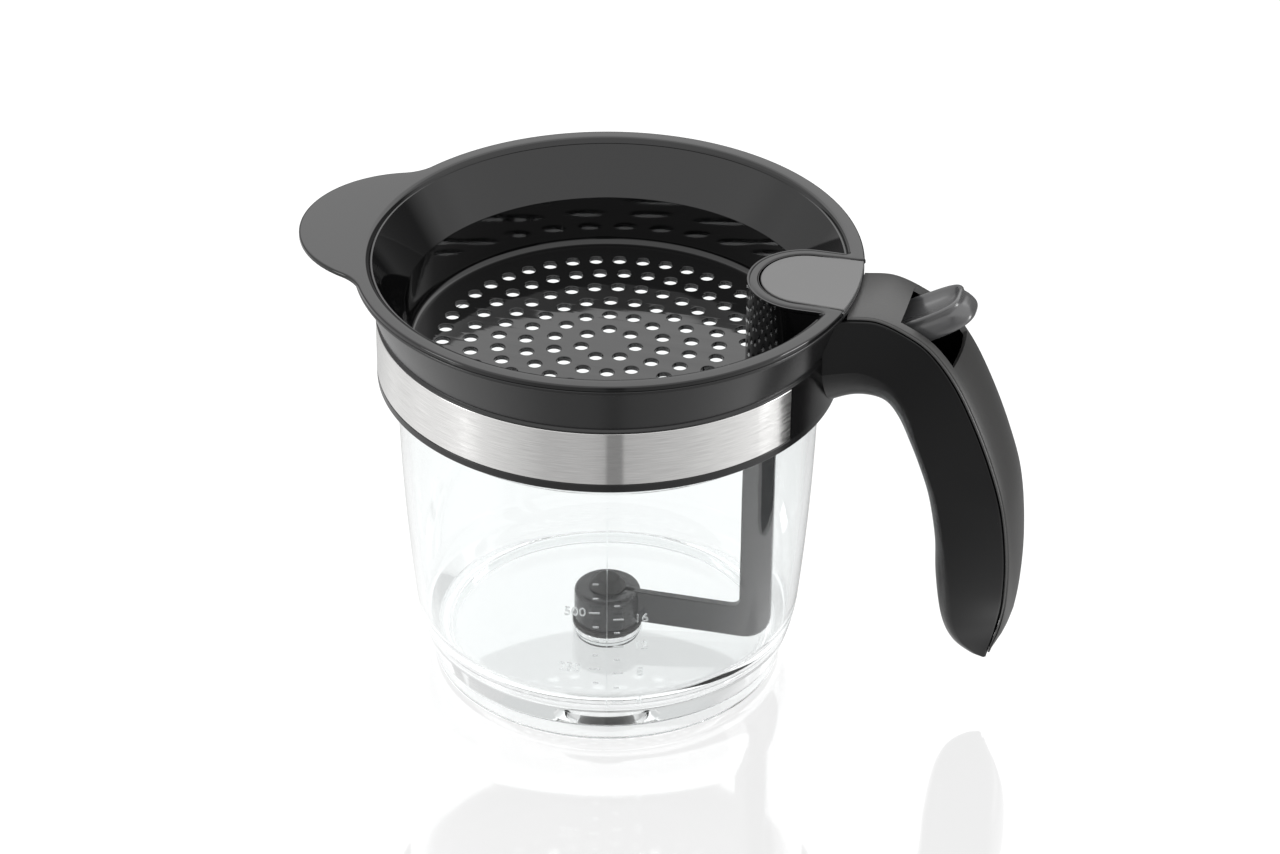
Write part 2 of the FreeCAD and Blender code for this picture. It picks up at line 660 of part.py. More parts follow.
# ---------------------------------------------------------------- closing spring
spring = new_body("closing_spring")
coil = sketch_on(spring, "CoilOutline", "XY_Plane", [], lift=nose[1] + nose_rad + 3.1, circles=[
    (rod_out + 5.8, 0, 4.2), (rod_out + 5.8, 0, 3.3)])
push(spring, "Coil", coil, flange_high - nose[1] - nose_rad - 3.1)

# ---------------------------------------------------------------- strainer funnel
funnel_wall = size("funnel_wall")
bowl_in = rim_rad - 2.0 - size("drum_gap") - funnel_wall
cone_low = top_high - size("cone_deep")
plate_top, plate_thick = rim_high - size("plate_sink"), size("plate_thick")
rim_land = size("rim_land")
pocket_wall = size("pocket_wall")
drum_out = bowl_in + funnel_wall
seat = plate_top - plate_thick - 0.1
mouth = top_rad - rim_land

funnel = new_body("strainer_funnel")
turn(funnel, "Bowl", [
    (mouth, top_high - 0.8),
    (mouth + 0.8, top_high),
    (top_rad - 0.6, top_high),
    (top_rad, top_high - 0.6),
    (top_rad, top_high - rim_thick),
    (mouth + 1.7, top_high - rim_thick),
    (drum_out, cone_low - 0.9),
    (drum_out, seat - 1.7),
    (bowl_in - 2.5, seat - 1.7),
    (bowl_in - 2.5, seat),
    (bowl_in, seat),
    (bowl_in, cone_low),
])
u_out = cap_half + cap_gap + pocket_wall
collar_u = sketch_on(funnel, "PocketWallOutline", "XY_Plane", [horseshoe(u_out, top_rad + 13.9)],
                     lift=seat - 1.7)
push(funnel, "PocketWall", collar_u, top_high - seat + 1.7)
turn(funnel, "Outside", [
    (drum_out, seat - 3),
    (drum_out + 50, seat - 3),
    (drum_out + 50, top_high + 3),
    (top_rad, top_high + 3),
    (top_rad, top_high - rim_thick),
    (mouth + 1.7, top_high - rim_thick),
    (drum_out, cone_low - 0.9),
], "Groove")
tab_reach = top_rad + size("tab_long")
tab_half, tab_round = size("tab_half"), size("tab_round")
tab = sketch_on(funnel, "TabOutline", "XY_Plane", [[
    (-(top_rad - 11.2), tab_half + 16.2, 15, -1),
    (-(top_rad - 2.1), tab_half + 6.5),
    (-(tab_reach - 9.5), tab_half, tab_round, 1),
    (-(tab_reach - 9.5), -tab_half),
    (-(top_rad - 2.1), -(tab_half + 6.5), 15, -1),
    (-(top_rad - 11.2), -(tab_half + 16.2)),
    (-(top_rad - 3.6), -10.0),
    (-(top_rad - 3.6), 10.0),
]], lift=top_high - rim_thick)
push(funnel, "Tab", tab, rim_thick)
pocket = sketch_on(funnel, "PocketOutline", "XY_Plane", [
    horseshoe(cap_half + cap_gap, top_rad + 21.9, 2.1)], lift=seat - 4)
push(funnel, "Pocket", pocket, 50, "Pocket", back=True)
# ---------------------------------------------------------------- perforated plate
strainer = new_body("strainer_plate")
disc_rad = bowl_in - 0.3
disc = sketch_on(strainer, "DiscOutline", "XY_Plane", [], lift=plate_top - plate_thick,
                 circles=[(0, 0, disc_rad)])
push(strainer, "Disc", disc, plate_thick)
cut = sketch_on(strainer, "DiscNotchOutline", "XY_Plane", [
    horseshoe(u_out + 0.3, top_rad + 13.9)],
                lift=plate_top - plate_thick - 2)
push(strainer, "DiscNotch", cut, plate_thick + 6, "Pocket", back=True)
hole_rad = size("hole_rad")
# (holes in a full ring, holes left out at the pocket) from the outer ring inwards
RINGS = [(43, 5), (35, 2), (29, 0), (21, 0), (14, 0), (7, 0)]
HOLE_SIDES = 8
ring_step = (bowl_in - size("hole_land")) / len(RINGS)
for number, (full, left_out) in enumerate(RINGS):
    radius = ring_step * (len(RINGS) - number)
    step = 360.0 / full
    first = math.radians(step * (left_out + 1) / 2.0 if left_out else 0.0)
    corners = []
    for k in range(HOLE_SIDES):
        angle = first + 2 * math.pi * (k + 0.5) / HOLE_SIDES
        corners.append((radius * math.cos(first) + hole_rad * (1.04 * math.cos(angle)),
                        radius * math.sin(first) + hole_rad * (1.04 * math.sin(angle))))
    hole = sketch_on(strainer, "Hole%dOutline" % number, "XY_Plane", [corners],
                     lift=plate_top - plate_thick - 1)
    drill = push(strainer, "Hole%d" % number, hole, plate_thick + 2, "Pocket", back=True)
    pattern = strainer.newObject("PartDesign::PolarPattern", "Ring%d" % number)
    pattern.Originals = [drill]
    pattern.Axis = (disc, ["N_Axis"])
    pattern.Angle = step * (full - left_out - 1)
    pattern.Occurrences = full - left_out
    strainer.Tip = pattern
    doc.recompute()

# ---------------------------------------------------------------- checks and export
doc.recompute()
PIECES = [jug, frame, band, cover, pin, cap, guide, lever, rod, plug, spring, funnel, strainer]
trouble = []
for thing in doc.Objects:
    if any(word in thing.State for word in ("Invalid", "Error")):
        trouble.append("%s is %s" % (thing.Name, thing.State))
for piece in PIECES:
    shape = piece.Shape
    if shape.isNull() or not shape.isValid() or not shape.Solids:
        trouble.append("%s has no valid solid" % piece.Label)
if trouble:
    raise RuntimeError("; ".join(trouble))
os.makedirs("parts", exist_ok=True)
triangles = 0
for piece in PIECES:
    piece.Shape.exportStep("parts/%s.step" % piece.Label)
    facets = len(piece.Shape.tessellate(0.1)[1])
    triangles += facets
    box = piece.Shape.BoundBox
    print("%-16s solids %d faces %3d volume %9.1f facets %5d  x %.1f..%.1f y %.1f..%.1f z %.1f..%.1f"
          % (piece.Label, len(piece.Shape.Solids), len(piece.Shape.Faces), piece.Shape.Volume,
             facets, box.XMin, box.XMax, box.YMin, box.YMax, box.ZMin, box.ZMax))
print("facets in all", triangles)
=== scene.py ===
"""Dress of a gravy fat separator: a clear jug with a steel-banded black collar, a pistol handle
with a sprung thumb lever, a lift rod with its drain stopper, and a lift-off strainer funnel.

Every size is in millimetres in the part's own frame (+Z up, the handle along +X, the origin in
the plane of the foot); meshes are written in metres.
"""

from __future__ import annotations

import sys

import logging
import math
from dataclasses import dataclass
from enum import Enum
from functools import cache
from typing import Sequence

import bmesh
import bpy
import numpy as np
from mathutils import Matrix, Vector

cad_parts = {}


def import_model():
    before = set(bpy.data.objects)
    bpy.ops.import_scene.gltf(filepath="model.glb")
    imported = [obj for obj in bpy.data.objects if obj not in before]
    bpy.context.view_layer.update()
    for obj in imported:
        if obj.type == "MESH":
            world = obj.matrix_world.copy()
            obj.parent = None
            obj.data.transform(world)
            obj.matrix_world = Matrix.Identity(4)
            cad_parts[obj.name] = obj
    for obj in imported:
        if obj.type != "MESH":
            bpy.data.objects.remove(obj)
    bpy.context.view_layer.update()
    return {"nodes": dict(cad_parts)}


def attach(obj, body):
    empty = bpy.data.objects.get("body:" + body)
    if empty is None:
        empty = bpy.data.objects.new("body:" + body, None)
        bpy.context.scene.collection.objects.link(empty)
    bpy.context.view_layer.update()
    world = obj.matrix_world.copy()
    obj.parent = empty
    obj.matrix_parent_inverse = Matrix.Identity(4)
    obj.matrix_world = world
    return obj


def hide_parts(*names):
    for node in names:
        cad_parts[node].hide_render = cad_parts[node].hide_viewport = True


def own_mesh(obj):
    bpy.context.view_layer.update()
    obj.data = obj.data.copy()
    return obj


LOG = logging.getLogger("separator")
MM = 0.001
Array = np.ndarray


# ------------------------------------------------------------------ outlines
def unit(vectors: Array) -> Array:
    """Scale vectors to length one, leaving a zero vector as it is."""
    return vectors / np.maximum(np.linalg.norm(vectors, axis=-1, keepdims=True), 1e-12)


def on_circle(radius: float | Array, angle: float | Array) -> Array:
    """Points (radius cos angle, radius sin angle) about the origin, as (x, y) rows."""
    return np.stack([radius * np.cos(angle), radius * np.sin(angle)], -1)


def rounded(corners: Sequence[Sequence[float]], steps: int = 5) -> Array:
    """Turn the corners of a closed outline into arcs.

    Each arc touches its two sides at radius / tan(half the corner's angle) from the corner, and
    its points are the even turn from one radius to the other about the arc's centre.

    Args:
        corners: rows of (x, y) or (x, y, radius).
        steps: pieces that each arc is made of.

    Returns:
        The outline's points, one (x, y) row each, with no doubles.
    """
    rows = np.array([(*c, 0.0)[:3] for c in corners], float)
    spot, radius = rows[:, :2], rows[:, 2:]
    before, after = unit(np.roll(spot, 1, 0) - spot), unit(np.roll(spot, -1, 0) - spot)
    half = 0.5 * np.arccos(np.clip((before * after).sum(1, keepdims=True), -1.0, 1.0))
    half = np.clip(half, 1e-3, math.pi / 2 - 1e-6)
    centre = spot + unit(before + after) * radius / np.sin(half)
    first = spot + before * radius / np.tan(half) - centre
    last = spot + after * radius / np.tan(half) - centre
    turn = math.pi - 2 * half
    share = np.linspace(0.0, 1.0, steps + 1)[None, :, None]
    points = centre[:, None] + (np.sin((1 - share) * turn[:, None]) * first[:, None]
                                + np.sin(share * turn[:, None]) * last[:, None]) \
        / np.sin(turn[:, None])
    points = points.reshape(-1, 2)
    return points[np.linalg.norm(points - np.roll(points, -1, 0), axis=1) > 1e-3]


def bow(start: Sequence[float], end: Sequence[float], radius: float, count: int = 12) -> Array:
    """Points along an arc from start to end, both left out.

    The arc's centre lies on the chord's left for a positive radius, on its right for a negative
    one, and the points are evenly turned about it.

    Args:
        start: first end of the arc.
        end: other end of the arc.
        radius: radius of the arc, signed as above.
        count: number of points.

    Returns:
        The points, one (x, y) row each.
    """
    a, b = np.array(start, float), np.array(end, float)
    chord = b - a
    half = np.linalg.norm(chord) / 2
    left = np.array((-chord[1], chord[0])) / (2 * half)
    centre = (a + b) / 2 + left * math.copysign(math.sqrt(radius ** 2 - half ** 2), radius)
    swing = 2 * math.asin(half / abs(radius)) * math.copysign(1.0, radius)
    angle = np.linspace(0.0, swing, count + 2)[1:-1]
    arm = a - centre
    return centre + np.stack([arm[0] * np.cos(angle) - arm[1] * np.sin(angle),
                              arm[0] * np.sin(angle) + arm[1] * np.cos(angle)], 1)


def smooth(stations: Array, count: int) -> Array:
    """Carry rows of numbers along a smooth curve through every row.

    Between two rows each number is the Catmull-Rom cubic of the four rows around it, with the
    end rows' neighbours mirrored through them.

    Args:
        stations: the rows, one station each.
        count: number of rows wanted.

    Returns:
        The rows along the curve.
    """
    rows = np.vstack([2 * stations[0] - stations[1], stations, 2 * stations[-1] - stations[-2]])
    place = np.linspace(0.0, len(stations) - 1 - 1e-9, count)
    k = place.astype(int)
    t = (place - k)[:, None]
    p0, p1, p2, p3 = rows[k], rows[k + 1], rows[k + 2], rows[k + 3]
    return 0.5 * (2 * p1 + (p2 - p0) * t + (2 * p0 - 5 * p1 + 4 * p2 - p3) * t ** 2
                  + (3 * p1 - p0 - 3 * p2 + p3) * t ** 3)


# ------------------------------------------------------------------ meshes
def add_object(name: str, data: bpy.types.ID) -> bpy.types.Object:
    """Put a new object with the given data into the scene.

    Args:
        name: the object's name.
        data: its mesh, curve, lamp or lens.

    Returns:
        The object.
    """
    made = bpy.data.objects.new(name, data)
    bpy.context.scene.collection.objects.link(made)
    return made


def quads(rows: int, columns: int, close_rows: bool = False, close_columns: bool = True) -> Array:
    """Faces of a grid of points, each joining a point to its neighbours in the next row and
    column.

    Args:
        rows: rows of points.
        columns: points in a row.
        close_rows: join the last row to the first.
        close_columns: join the last column to the first.

    Returns:
        The numbers of each face's four points.
    """
    r, c = np.meshgrid(np.arange(rows if close_rows else rows - 1),
                       np.arange(columns if close_columns else columns - 1), indexing="ij")
    r2, c2 = (r + 1) % rows, (c + 1) % columns
    return np.stack([r * columns + c, r * columns + c2, r2 * columns + c2, r2 * columns + c],
                    -1).reshape(-1, 4)


def bar(rings: int) -> Array:
    """Faces of a four-sided bar with capped ends, from rings of four points along it."""
    return np.vstack([quads(rings, 4), np.arange(4), np.arange(4) + 4 * (rings - 1)])


def make_piece(name: str, points: Array, faces: list[list[int]], crease: float = 32.0,
               edge: float = 0.0, weighted: bool = True) -> bpy.types.Object:
    """Build one closed piece from points in millimetres.

    Args:
        name: the piece's name.
        points: one (x, y, z) row for each point.
        faces: the points of each face.
        crease: edges that turn by more than this many degrees stay sharp.
        edge: radius that its corners are rounded to.
        weighted: lean the shading normals on the larger faces.

    Returns:
        The piece, at the origin, with its doubles merged and its faces outwards.
    """
    mesh = bpy.data.meshes.new(name)
    mesh.from_pydata((points * MM).tolist(), [], faces)
    work = bmesh.new()
    work.from_mesh(mesh)
    bmesh.ops.remove_doubles(work, verts=work.verts, dist=2e-6)
    bmesh.ops.dissolve_degenerate(work, edges=work.edges, dist=1e-6)
    loose = [side for side in work.edges if not side.link_faces]
    bmesh.ops.delete(work, geom=loose, context="EDGES")
    bmesh.ops.recalc_face_normals(work, faces=work.faces)
    work.to_mesh(mesh)
    work.free()
    mesh.shade_smooth()
    mesh.set_sharp_from_angle(angle=math.radians(crease))
    piece = add_object(name, mesh)
    if edge:
        bevel = piece.modifiers.new("rounded edges", "BEVEL")
        bevel.width, bevel.segments = edge * MM, 3
        bevel.limit_method, bevel.angle_limit = "ANGLE", math.radians(50)
        bevel.harden_normals = False
    if weighted:
        piece.modifiers.new("weighted shading", "WEIGHTED_NORMAL").keep_sharp = True
    return piece


def grid_piece(name: str, grid: Array, close_rows: bool = False, close_columns: bool = True,
               crease: float = 32.0, edge: float = 0.0) -> bpy.types.Object:
    """Build a piece from a grid of points.

    Args:
        name: the piece's name.
        grid: (row, column, 3) coordinates.
        close_rows: join the last row to the first; otherwise each of them is capped.
        close_columns: join the last column to the first; otherwise each of them is capped.
        crease: edges that turn by more than this many degrees stay sharp.
        edge: radius that its corners are rounded to.

    Returns:
        The piece.
    """
    rows, columns = grid.shape[:2]
    faces = quads(rows, columns, close_rows, close_columns).tolist()
    index = np.arange(rows * columns).reshape(rows, columns)
    if not close_rows:
        faces += [index[0].tolist(), index[-1].tolist()]
    if not close_columns:
        faces += [index[:, 0].tolist(), index[:, -1].tolist()]
    return make_piece(name, grid.reshape(-1, 3), faces, crease, edge)


def swept(outline: Array, angle: Array) -> Array:
    """Turn an outline about the axis.

    A point (r, z) of the outline at angle a lies at (r cos a, r sin a, z).

    Args:
        outline: (radius, height) rows.
        angle: the angles in radians, one row for all points or one for each.

    Returns:
        (point, angle, 3) coordinates.
    """
    radius, height = outline[:, :1], outline[:, 1:]
    return np.concatenate([on_circle(radius, angle), (height + 0 * angle)[..., None]], -1)


def revolve(name: str, outline: Array, segments: int, start: float = 0.0,
            stop: float = 360.0) -> bpy.types.Object:
    """Turn a closed outline about the axis into a piece.

    Args:
        name: the piece's name.
        outline: the outline's (radius, height) rows.
        segments: steps round the axis.
        start: first angle in degrees.
        stop: last angle in degrees; a full turn has no end caps.

    Returns:
        The piece.
    """
    full = stop - start >= 359.999
    angle = np.radians(np.linspace(start, stop, segments + 1)[:segments + (not full)])
    return grid_piece(name, swept(outline, angle), True, full)


def at_height(plan: Array, height: float) -> Array:
    """The (x, y) rows of a plan as (x, y, z) rows at one height."""
    return np.column_stack([plan, np.full(len(plan), height)])


def slab(name: str, outline: Array, half: float, edge: float) -> bpy.types.Object:
    """Give an upright outline a thickness to both sides of the handle's middle plane.

    Args:
        name: the piece's name.
        outline: the outline's (x, z) rows.
        half: half the thickness, along Y.
        edge: radius of the edges.

    Returns:
        The piece.
    """
    x, z = outline.T
    side = np.array([-half, half])[:, None]
    return grid_piece(name, np.stack([x + 0 * side, side + 0 * x, z + 0 * side], -1), edge=edge)


def shape_of(curve: bpy.types.Curve) -> tuple[Array, list[list[int]]]:
    """The shape of text or of a flat curve that has its thickness.

    Args:
        curve: the text or the curve.

    Returns:
        One (x, y, z) row for each point, in the curve's own unit, and the points of each face.
    """
    holder = add_object(curve.name, curve)
    bpy.context.view_layer.update()
    mesh = bpy.data.meshes.new_from_object(holder)
    bpy.data.objects.remove(holder)
    spots = np.empty(len(mesh.vertices) * 3)
    mesh.vertices.foreach_get("co", spots)
    return spots.reshape(-1, 3), [list(face.vertices) for face in mesh.polygons]


# ------------------------------------------------------------------ shading
class Wiring:
    """Adds nodes to one node tree and joins them.

    Where a method takes an object, that is a number, a colour or a socket.
    """

    def __init__(self, tree: bpy.types.NodeTree) -> None:
        """Work on the given tree."""
        self.tree = tree

    def fill(self, node: bpy.types.Node, inputs: dict[str | int, object]) -> None:
        """Set a node's inputs or join sockets to them, each by its name or its number."""
        for key, value in inputs.items():
            if isinstance(value, bpy.types.NodeSocket):
                self.tree.links.new(value, node.inputs[key])
            else:
                node.inputs[key].default_value = value

    def add(self, kind: str, inputs: dict[str | int, object] | None = None,
            **settings: object) -> bpy.types.Node:
        """Add a node, set its properties and fill its inputs.

        Args:
            kind: the node's type.
            inputs: as for fill.
            settings: the node's properties.

        Returns:
            The node.
        """
        node = self.tree.nodes.new(kind)
        for key, value in settings.items():
            setattr(node, key, value)
        self.fill(node, inputs or {})
        return node

    def place(self) -> bpy.types.NodeSocket:
        """The place of a point on its object, in metres."""
        return self.add("ShaderNodeTexCoord").outputs["Object"]

    def sums(self, operation: str, *values: object) -> bpy.types.NodeSocket:
        """One arithmetic step."""
        return self.add("ShaderNodeMath", dict(enumerate(values)), operation=operation).outputs[0]

    def mix(self, low: object, high: object, share: bpy.types.NodeSocket) -> bpy.types.NodeSocket:
        """A number that goes from low to high as the share goes from 0 to 1."""
        return self.sums("ADD", self.sums("MULTIPLY", low, self.sums("SUBTRACT", 1.0, share)),
                         self.sums("MULTIPLY", high, share))

    def spread(self, value: bpy.types.NodeSocket, low: float, high: float, to_low: float,
               to_high: float) -> bpy.types.NodeSocket:
        """Map a range of numbers smoothly to another."""
        return self.add("ShaderNodeMapRange", dict(enumerate((value, low, high, to_low, to_high))),
                        interpolation_type="SMOOTHSTEP").outputs[0]

    def noise(self, place: bpy.types.NodeSocket, fineness: object, detail: float = 2.0,
              rough: float = 0.5) -> bpy.types.NodeSocket:
        """A field of soft random values."""
        return self.add("ShaderNodeTexNoise", {"Vector": place, "Scale": fineness,
                                               "Detail": detail, "Roughness": rough}).outputs["Fac"]

    def shades(self, colour: Sequence[float], swing: float,
               share: bpy.types.NodeSocket) -> bpy.types.NodeSocket:
        """A colour scaled from 1 - swing to 1 + swing as the share goes from 0 to 1."""
        dark, light = ((*(scale * c for c in colour), 1.0) for scale in (1 - swing, 1 + swing))
        return self.add("ShaderNodeMix", {"A": dark, "B": light, "Factor": share},
                        data_type="RGBA").outputs["Result"]

    def bent(self, height: bpy.types.NodeSocket, strength: float,
             distance: float) -> bpy.types.NodeSocket:
        """The normals of a surface raised by the height times the distance, in metres."""
        return self.add("ShaderNodeBump", {"Height": height, "Strength": strength,
                                           "Distance": distance}).outputs[0]

    def blend(self, first: bpy.types.Node, second: bpy.types.Node,
              share: object) -> bpy.types.Node:
        """Mix the second shader into the first by a share."""
        return self.add("ShaderNodeMixShader",
                        {"Fac": share, 1: first.outputs[0], 2: second.outputs[0]})


def start_group(name: str, given: dict[str, float], results: Sequence[str]) \
        -> tuple[Wiring, bpy.types.NodeOutputs, bpy.types.Node]:
    """Begin a node group that takes and gives numbers.

    Args:
        name: the group's name.
        given: its inputs, with their usual values.
        results: its outputs.

    Returns:
        The group's wiring, the sockets with what it is given, and the node for its results.
    """
    group = bpy.data.node_groups.new(name, "ShaderNodeTree")
    for label, value in given.items():
        socket = group.interface.new_socket(label, in_out="INPUT", socket_type="NodeSocketFloat")
        socket.default_value = value
    for label in results:
        group.interface.new_socket(label, in_out="OUTPUT", socket_type="NodeSocketFloat")
    wiring = Wiring(group)
    return wiring, wiring.add("NodeGroupInput").outputs, wiring.add("NodeGroupOutput")


@cache
def moulded_skin_group() -> bpy.types.NodeTree:
    """The fine skin of a moulding: grain, a slow waviness and the faint smears of handling.

    Height is grain times its depth plus waviness times its depth, in metres; Gloss shift is a
    slow value about zero to add to a roughness; Shade is a value about one to scale a colour.

    Returns:
        The node group, made once.
    """
    wiring, given, results = start_group(
        "moulded skin", {"Grain fineness": 2400.0, "Grain depth": 0.00001, "Wave fineness": 90.0,
                         "Wave depth": 0.0, "Smear": 0.05, "Mottle": 0.05},
        ("Height", "Gloss shift", "Shade"))
    sums, place = wiring.sums, wiring.place()
    grain = wiring.noise(place, given["Grain fineness"], 3.0)
    wave = wiring.noise(place, given["Wave fineness"], 0.0)
    smear = wiring.noise(place, 38.0, 4.0, 0.62)
    wiring.fill(results, {
        "Height": sums("ADD", sums("MULTIPLY", grain, given["Grain depth"]),
                       sums("MULTIPLY", wave, given["Wave depth"])),
        "Gloss shift": sums("MULTIPLY", sums("SUBTRACT", smear, 0.5), given["Smear"]),
        "Shade": sums("ADD", 1.0, sums("MULTIPLY", sums("SUBTRACT", grain, 0.5),
                                       given["Mottle"]))})
    return wiring.tree


@cache
def drawn_lines_group() -> bpy.types.NodeTree:
    """Fine lines drawn round the axis, as a brushing wheel leaves on steel.

    The pattern is noise read at (angle about Z times Along, height times Across), so that it is
    long round the axis and fine up it; the broad lines are the same, read less far up.

    Returns:
        The node group, made once.
    """
    wiring, given, results = start_group("drawn lines", {"Along": 7.0, "Across": 4600.0},
                                         ("Lines", "Broad lines"))
    sums = wiring.sums
    split = wiring.add("ShaderNodeSeparateXYZ", {0: wiring.place()}).outputs
    angle = sums("ARCTAN2", split["Y"], sums("MULTIPLY", split["X"], -1.0))
    for label, share in (("Lines", 1.0), ("Broad lines", 0.22)):
        place = wiring.add("ShaderNodeCombineXYZ", {
            "X": sums("MULTIPLY", angle, given["Along"]),
            "Y": sums("MULTIPLY", sums("MULTIPLY", split["Z"], given["Across"]), share)})
        wiring.fill(results, {label: wiring.noise(place.outputs[0], 1.0, 2.0, 0.6)})
    return wiring.tree


def new_paint(name: str) -> tuple[bpy.types.Material, Wiring, bpy.types.Node]:
    """Begin a material.

    Args:
        name: the material's name.

    Returns:
        The material, its wiring and its Principled shader.
    """
    paint = bpy.data.materials.new(name)
    paint.use_nodes = True
    return paint, Wiring(paint.node_tree), paint.node_tree.nodes["Principled BSDF"]


@dataclass(frozen=True)
class MouldedPlastic:
    """An opaque moulding: its colour, gloss and skin."""

    name: str
    colour: tuple[float, float, float]
    roughness: float
    grain_fineness: float = 2400.0
    grain_depth: float = 4e-6
    wave_fineness: float = 90.0
    wave_depth: float = 0.0
    smear: float = 0.06
    mottle: float = 0.08
    specular: float = 0.5
    bump: float = 0.35
    refraction: float = 1.52

    def material(self) -> bpy.types.Material:
        """Build the material.

        Returns:
            The material.
        """
        paint, wiring, surface = new_paint(self.name)
        skin = wiring.add("ShaderNodeGroup", node_tree=moulded_skin_group())
        wiring.fill(skin, {
            "Grain fineness": self.grain_fineness, "Grain depth": self.grain_depth,
            "Wave fineness": self.wave_fineness, "Wave depth": self.wave_depth,
            "Smear": self.smear, "Mottle": self.mottle})
        shade = wiring.sums("SUBTRACT", skin.outputs["Shade"], 0.5)
        wiring.fill(surface, {
            "Metallic": 0.0, "Specular IOR Level": self.specular, "IOR": self.refraction,
            "Base Color": wiring.shades(self.colour, 0.2, shade),
            "Roughness": wiring.sums("ADD", skin.outputs["Gloss shift"], self.roughness),
            "Normal": wiring.bent(skin.outputs["Height"], self.bump, 1.0)})
        return paint


@dataclass(frozen=True)
class BrushedSteel:
    """Steel with fine lines round the axis."""

    name: str
    colour: tuple[float, float, float] = (0.76, 0.755, 0.745)
    roughness: float = 0.13
    anisotropy: float = 1.0

    def material(self) -> bpy.types.Material:
        """Build the material.

        Returns:
            The material.
        """
        paint, wiring, surface = new_paint(self.name)
        drawn = wiring.add("ShaderNodeGroup", node_tree=drawn_lines_group()).outputs
        around = wiring.add("ShaderNodeTangent", direction_type="RADIAL", axis="Z")
        wiring.fill(surface, {
            "Metallic": 1.0, "Anisotropic": self.anisotropy, "Anisotropic Rotation": 0.25,
            "Tangent": around.outputs[0],
            "Base Color": wiring.shades(self.colour, 0.3, drawn["Lines"]),
            "Roughness": wiring.spread(drawn["Broad lines"], 0.3, 0.7, self.roughness - 0.03,
                                       self.roughness + 0.04),
            "Normal": wiring.bent(drawn["Lines"], 0.10, 5e-6)})
        return paint


@dataclass(frozen=True)
class ClearPlastic:
    """A clear polished moulding that lets the lamps' light through to what is inside."""

    name: str
    tint: tuple[float, float, float] = (0.97, 0.985, 0.985)
    roughness: float = 0.012
    refraction: float = 1.49
    frost: float = 0.0

    def material(self) -> bpy.types.Material:
        """Build the material; shade, soft light and rays past their fifth turn go straight
        through it.

        Returns:
            The material.
        """
        paint, wiring, surface = new_paint(self.name)
        place = wiring.place()
        wiring.fill(surface, {
            "Base Color": (*self.tint, 1.0), "Metallic": 0.0, "Transmission Weight": 1.0,
            "IOR": self.refraction,
            "Roughness": wiring.spread(wiring.noise(place, 30.0, 3.0), 0.35, 0.75,
                                       self.roughness, self.roughness + 0.03 + self.frost),
            "Normal": wiring.bent(wiring.noise(place, 45.0, 1.0), 0.08, 0.0004)})
        through = wiring.add("ShaderNodeBsdfTransparent",
                             {"Color": (*(0.5 + 0.5 * c for c in self.tint), 1.0)})
        light = wiring.add("ShaderNodeLightPath").outputs
        soft = wiring.sums("MAXIMUM", light["Is Shadow Ray"], light["Is Diffuse Ray"])
        late = wiring.sums("GREATER_THAN", light["Ray Depth"], 5.5)
        pick = wiring.blend(surface, through, wiring.sums("MAXIMUM", soft, late))
        wiring.fill(paint.node_tree.nodes["Material Output"], {"Surface": pick.outputs[0]})
        return paint


class Finish(Enum):
    """The finishes of the separator's pieces, by the record's material slot."""

    CLEAR = ClearPlastic("clear jug")
    MARKS = ClearPlastic("raised marks", roughness=0.10, frost=0.10)
    SHELL = MouldedPlastic("handle shell", (0.0028, 0.0028, 0.0030), 0.22, grain_depth=1e-6,
                           specular=0.30)
    COLLAR = MouldedPlastic("collar", (0.0075, 0.0075, 0.0078), 0.25, grain_depth=1.5e-6)
    COVER = MouldedPlastic("handle cover", (0.022, 0.0215, 0.0207), 0.38, grain_fineness=1500.0,
                           grain_depth=6.0e-5, mottle=1.0, specular=0.8, bump=0.6)
    CAP = MouldedPlastic("mechanism cap", (0.124, 0.124, 0.1235), 0.30, grain_fineness=3600.0,
                         grain_depth=4e-6, mottle=0.15)
    LEVER = MouldedPlastic("thumb lever", (0.066, 0.066, 0.0675), 0.23, grain_fineness=3600.0,
                           grain_depth=3e-6, mottle=0.15, specular=0.9)
    FUNNEL = MouldedPlastic("funnel", (0.0035, 0.0035, 0.0037), 0.05, grain_depth=0.0,
                            wave_fineness=60.0, wave_depth=6e-6, smear=0.03)
    PLATE = MouldedPlastic("perforated plate", (0.0045, 0.0045, 0.0047), 0.05, grain_depth=0.0,
                           wave_fineness=70.0, wave_depth=6e-5, smear=0.03)
    ROD = MouldedPlastic("lift rod", (0.018, 0.018, 0.019), 0.26, grain_depth=1e-6)
    RUBBER = MouldedPlastic("stopper rubber", (0.030, 0.029, 0.028), 0.60, grain_depth=8e-6,
                            specular=0.35, mottle=0.25)
    BAND = BrushedSteel("band steel")
    WIRE = BrushedSteel("drawn steel", (0.55, 0.55, 0.55), 0.28, 0.3)


@cache
def paint_of(finish: Finish) -> bpy.types.Material:
    """The finish's material, made once."""
    return finish.value.material()


def coat(piece: bpy.types.Object, finish: Finish) -> None:
    """Give a piece its finish.

    Args:
        piece: the piece, which loses any other finish.
        finish: its finish.
    """
    piece.data.materials.clear()
    piece.data.materials.append(paint_of(finish))
    LOG.info("%s: %s, %d faces", piece.name, finish.value.name, len(piece.data.polygons))


def dress(piece: bpy.types.Object, body: str, finish: Finish, slot: str,
          *nodes: str) -> bpy.types.Object:
    """Give a piece its finish and body, and hide the nodes that it stands for.

    Args:
        piece: the piece.
        body: the body of the part that it moves with.
        finish: its finish.
        slot: its material slot in the record; not used.
        nodes: the nodes of the part that it stands for.

    Returns:
        The piece.
    """
    coat(piece, finish)
    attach(piece, body)
    if nodes:
        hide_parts(*nodes)
    return piece


